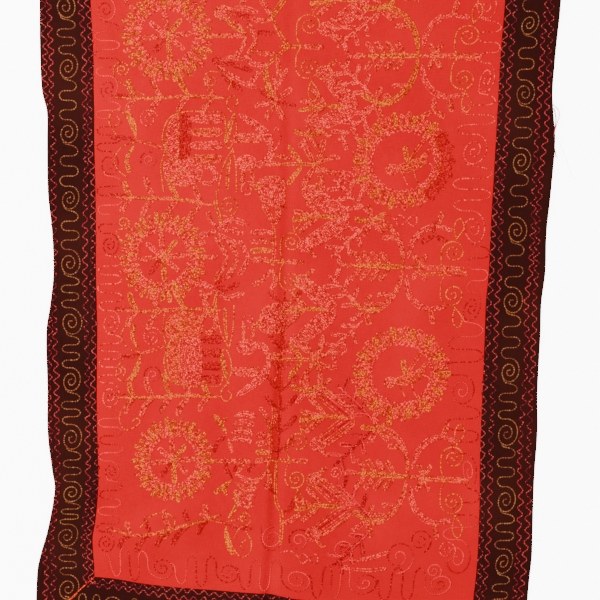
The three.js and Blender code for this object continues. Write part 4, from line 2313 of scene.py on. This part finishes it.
class Side(Enum):
    """The four strips of the border."""

    LEFT = "left"
    RIGHT = "right"
    NEAR = "near"
    FAR = "far"


@dataclass(frozen=True)
class ClothPieces:
    """The panel and the four border strips, as fine sheets."""

    lay: Lay = LAY
    finest: float = 2.0
    coarsest: float = 7.5
    growth: float = 1.12
    border_steps: tuple[float, ...] = (
        *(0, 0.4, 1.2, 3, 6, 8, 10, 16, 23, 31, 39, 47, 55, 63, 71, 79, 86, 92, 94, 95),
    )

    def columns(self) -> Array:
        """Distances across the panel, from seam to seam, fine at the crease.

        Returns:
            The distances, in millimetres.
        """
        steps = [self.finest] * 8
        while sum(steps) < self.lay.cut.seam_across - 4:
            steps.append(min(self.coarsest, steps[-1] * self.growth))
        side = np.cumsum(steps)
        side *= (self.lay.cut.seam_across - 3) / side[-1]
        side = np.concatenate([side, self.lay.cut.seam_across - np.array([1.5, 0.0])])
        return np.concatenate([-side[::-1], [0.0], side])

    def rows(self) -> Array:
        """Distances along the panel, from seam to seam, finer at the seams.

        Returns:
            The distances, in millimetres.
        """
        reach = self.lay.cut.seam_along
        inner = np.linspace(-(reach - 3), reach - 3, round(2 * reach / self.coarsest))
        return np.concatenate([[-reach, -reach + 1.5], inner, [reach - 1.5, reach]])

    def panel_grid(self) -> Array:
        """The panel's flat points as rows of columns."""
        return np.stack(np.meshgrid(self.columns(), self.rows()), 2)

    def border_grid(self, side: Side) -> Array:
        """A strip's flat points as rows of columns, mitred at both ends.

        Args:
            side: Which strip.

        Returns:
            Its flat points, with its face up when wound as the panel's are.
        """
        cut = self.lay.cut
        insets = np.array(self.border_steps)
        if side in (Side.LEFT, Side.RIGHT):
            along = self.rows() / cut.seam_along
            across = cut.half_width - insets
            x = np.broadcast_to(-across, (len(along), len(insets)))
            grid = np.stack([x, np.outer(along, cut.half_length - insets)], 2)
            return grid if side is Side.LEFT else (grid * (-1, 1))[:, ::-1]
        shares = self.columns() / cut.seam_across
        along = cut.half_length - insets
        y = np.broadcast_to(-along[:, None], (len(insets), len(shares)))
        grid = np.stack([np.outer(cut.half_width - insets, shares), y], 2)
        return grid if side is Side.NEAR else (grid * (1, -1))[::-1]

    def sheet(self, name: str, grid: Array, finish: Material) -> Piece:
        """Builds one closed sheet from its flat points.

        Args:
            name: The piece's name.
            grid: Its flat points, as rows of columns.
            finish: Its material.

        Returns:
            The piece.
        """
        rows, columns = grid.shape[:2]
        flat = grid.reshape(-1, 2)
        under, over = self.lay.underside(flat), self.lay.face(flat)
        count = len(flat)
        number = np.arange(count).reshape(rows, columns)
        a, b, c, d = number[:-1, :-1], number[:-1, 1:], number[1:, 1:], number[1:, :-1]
        face = np.stack([a, b, c, d], 2).reshape(-1, 4)
        rim = np.concatenate([number[0], number[1:, -1], number[-1, -2::-1], number[-2:0:-1, 0]])
        after = np.roll(rim, -1)
        walls = np.stack([rim, after, after + count, rim + count], 1)
        faces = np.vstack([face + count, face[:, ::-1], walls])
        mesh = bpy.data.meshes.new(name)
        mesh.from_pydata((np.vstack([under, over]) * MM).tolist(), [], faces.tolist())
        self._map(mesh, np.vstack([flat, flat]))
        mesh.shade_smooth()
        mesh.set_sharp_from_angle(angle=math.radians(50))
        mesh.materials.append(finish)
        return put_in_scene(name, mesh)

    def _map(self, mesh: bpy.types.Mesh, flat: Array) -> None:
        """Gives a sheet its Cut map, in metres of flat cloth.

        Args:
            mesh: The sheet's mesh.
            flat: Points on the flat cloth.
        """
        corners = np.empty(len(mesh.loops), np.int32)
        mesh.loops.foreach_get("vertex_index", corners)
        metres = (flat[corners] * MM).astype(np.float32)
        mesh.uv_layers.new(name="Cut").uv.foreach_set("vector", metres.ravel())

    def build(self, stitches: list[Piece]) -> list[Piece]:
        """Args:
            stitches: The pieces of stitching that lie on them.

        Returns:
            The sheets.
        """
        red, dark = RED_COTTON.material(), DARK_COTTON.material()
        panel = self.sheet("centre_panel_cloth", self.panel_grid(), red)
        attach(panel, "root")
        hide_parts("centre_panel")
        [s for s in stitches if "border" not in s.name]
        sheets = [panel]
        for side in Side:
            strip = self.sheet(f"border_{side.value}_cloth", self.border_grid(side), dark)
            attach(strip, "root")
            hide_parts(f"border_{side.value}")
            sheets.append(strip)
        return sheets


class Hair(NamedTuple):
    """A loose thread end: its thickness and the points it runs through, in millimetres."""

    thickness: float
    route: tuple[tuple[float, float, float], ...]


LOOSE_ENDS = (
    Hair(2.0, ((446, 262, 6), (450, 246, 7), (448, 228, 8), (444, 208, 8), (447, 190, 7), (450, 176, 5))),
    Hair(1.4, ((445, 268, 5), (454, 262, 3), (457, 250, 3), (451, 236, 6), (446, 216, 8))),
    Hair(
        0.35,
        ((446, 218, 8), (454, 204, 4), (464, 186, 1), (470, 168, 0.6), (474, 152, 0.5), (484, 138, 0.5)),
    ),
    Hair(0.35, ((405, -492, 3), (414, -493, 1.5), (424, -494, 0.5))),
    Hair(0.4, ((450, 262, 6), (455, 252, 4), (452, 244, 6), (447, 248, 7))),
)


@dataclass(frozen=True)
class LooseThreads:
    """The thread ends that hang out at the right edge."""

    COLOUR = linear(0x98282E)

    ends: tuple[Hair, ...] = LOOSE_ENDS

    def material(self) -> Material:
        """Builds the matt pink of the thread ends.

        Returns:
            The material.
        """
        made, bench = start_material("loose_pink")
        bench.surface({"Base Color": self.COLOUR, "Roughness": 0.6, "Specular IOR Level": 0.05})
        return made

    def build(self) -> Piece:
        """Builds the thread ends as one piece.

        Returns:
            The piece.
        """
        curve = bpy.data.curves.new("loose_threads", "CURVE")
        curve.dimensions = "3D"
        curve.bevel_depth = MM / 2
        curve.bevel_resolution = 1
        curve.resolution_u = 6
        for end in self.ends:
            spline = curve.splines.new("NURBS")
            spline.points.add(len(end.route) - 1)
            spline.use_endpoint_u = True
            spline.order_u = 3
            for point, place in zip(spline.points, end.route):
                point.co = (*(np.array(place) * MM), 1.0)
                point.radius = end.thickness
        route = put_in_scene("loose_threads_route", curve)
        mesh = bpy.data.meshes.new_from_object(route.evaluated_get(bpy.context.evaluated_depsgraph_get()))
        bpy.data.objects.remove(route)
        mesh.name = "loose_threads"
        mesh.materials.clear()
        mesh.materials.append(self.material())
        made = put_in_scene("loose_threads", mesh)
        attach(made, "root")
        return made


@dataclass(frozen=True)
class Studio:
    """A plain pale floor, soft light and a camera straight above the cloth."""

    view_width: float = 1.05
    centre_x: float = 0.0026
    centre_y: float = -0.073
    lens_mm: float = 85.0
    floor_size: float = 8.0
    floor_level: float = -0.0003
    floor_glow: float = 8.0
    sky_strength: float = 1.32

    def floor(self) -> None:
        """Lays the floor."""
        half = self.floor_size / 2
        mesh = bpy.data.meshes.new("floor")
        corners = [(x * half, y * half, self.floor_level) for x, y in ((-1, -1), (1, -1), (1, 1), (-1, 1))]
        mesh.from_pydata(corners, [], [(0, 1, 2, 3)])
        paper, bench = start_material("pale_floor")
        bench.surface(
            {
                "Base Color": linear(0xF8F8F8),
                "Roughness": 0.9,
                "Specular IOR Level": 0.1,
                "Emission Color": linear(0xFFFFFF),
                "Emission Strength": self.floor_glow,
            }
        )
        mesh.materials.append(paper)
        floor = put_in_scene("floor", mesh)
        floor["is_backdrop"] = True

    def lamp(self, name: str, place: Sequence[float], size: float, power: float) -> None:
        """Hangs a soft lamp that points at the middle of the cloth.

        Args:
            name: Its name.
            place: Where it hangs.
            size: The side of its square face.
            power: Its power in watts.
        """
        light = bpy.data.lights.new(name, "AREA")
        light.size = size
        light.energy = power
        lamp = put_in_scene(name, light)
        lamp.location = place
        lamp.rotation_euler = (-lamp.location).to_track_quat("-Z", "Y").to_euler()

    def camera(self) -> None:
        """Sets the camera straight above, framed as the cloth was photographed."""
        data = bpy.data.cameras.new("camera")
        data.lens = self.lens_mm
        data.sensor_width = 36.0
        data.clip_end = 50.0
        camera = put_in_scene("camera", data)
        height = self.view_width * self.lens_mm / data.sensor_width
        camera.location = (self.centre_x, self.centre_y, height)
        bpy.context.scene.camera = camera

    def build(self) -> None:
        """Sets up the floor, the camera and the light."""
        self.floor()
        self.camera()
        self.lamp("key", (-1.9, 0.6, 1.5), size=1.4, power=108)
        self.lamp("fill", (1.8, -0.6, 2.2), size=2.2, power=54)
        world = bpy.data.worlds.new("studio")
        world.use_nodes = True
        background = world.node_tree.nodes["Background"]
        background.inputs["Color"].default_value = (1, 1, 1, 1)
        background.inputs["Strength"].default_value = self.sky_strength
        bpy.context.scene.world = world


def main() -> None:
    """Builds the cloth, its embroidery and the studio, and reports each piece."""
    logging.basicConfig(level=logging.INFO, format="%(name)s: %(message)s")
    Studio().build()
    needle = Needle()
    Embroidery().work(needle)
    stitches = StitchWork().build(needle)
    for piece in stitches:
        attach(piece, "root")
        "dark_cloth" if "border" in piece.name else "red_cloth"
    for sheet in ClothPieces().build(stitches):
        LOG.info("%s: %d faces", sheet.name, len(sheet.data.polygons))
    loose = LooseThreads().build()
    LOG.info("%s: %d faces", loose.name, len(loose.data.polygons))
    boxes = {"cad": CAD_BOX, "visual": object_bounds()}
    {name: [list(corner) for corner in box] for name, box in boxes.items()}


if __name__ == "__main__":
    main()
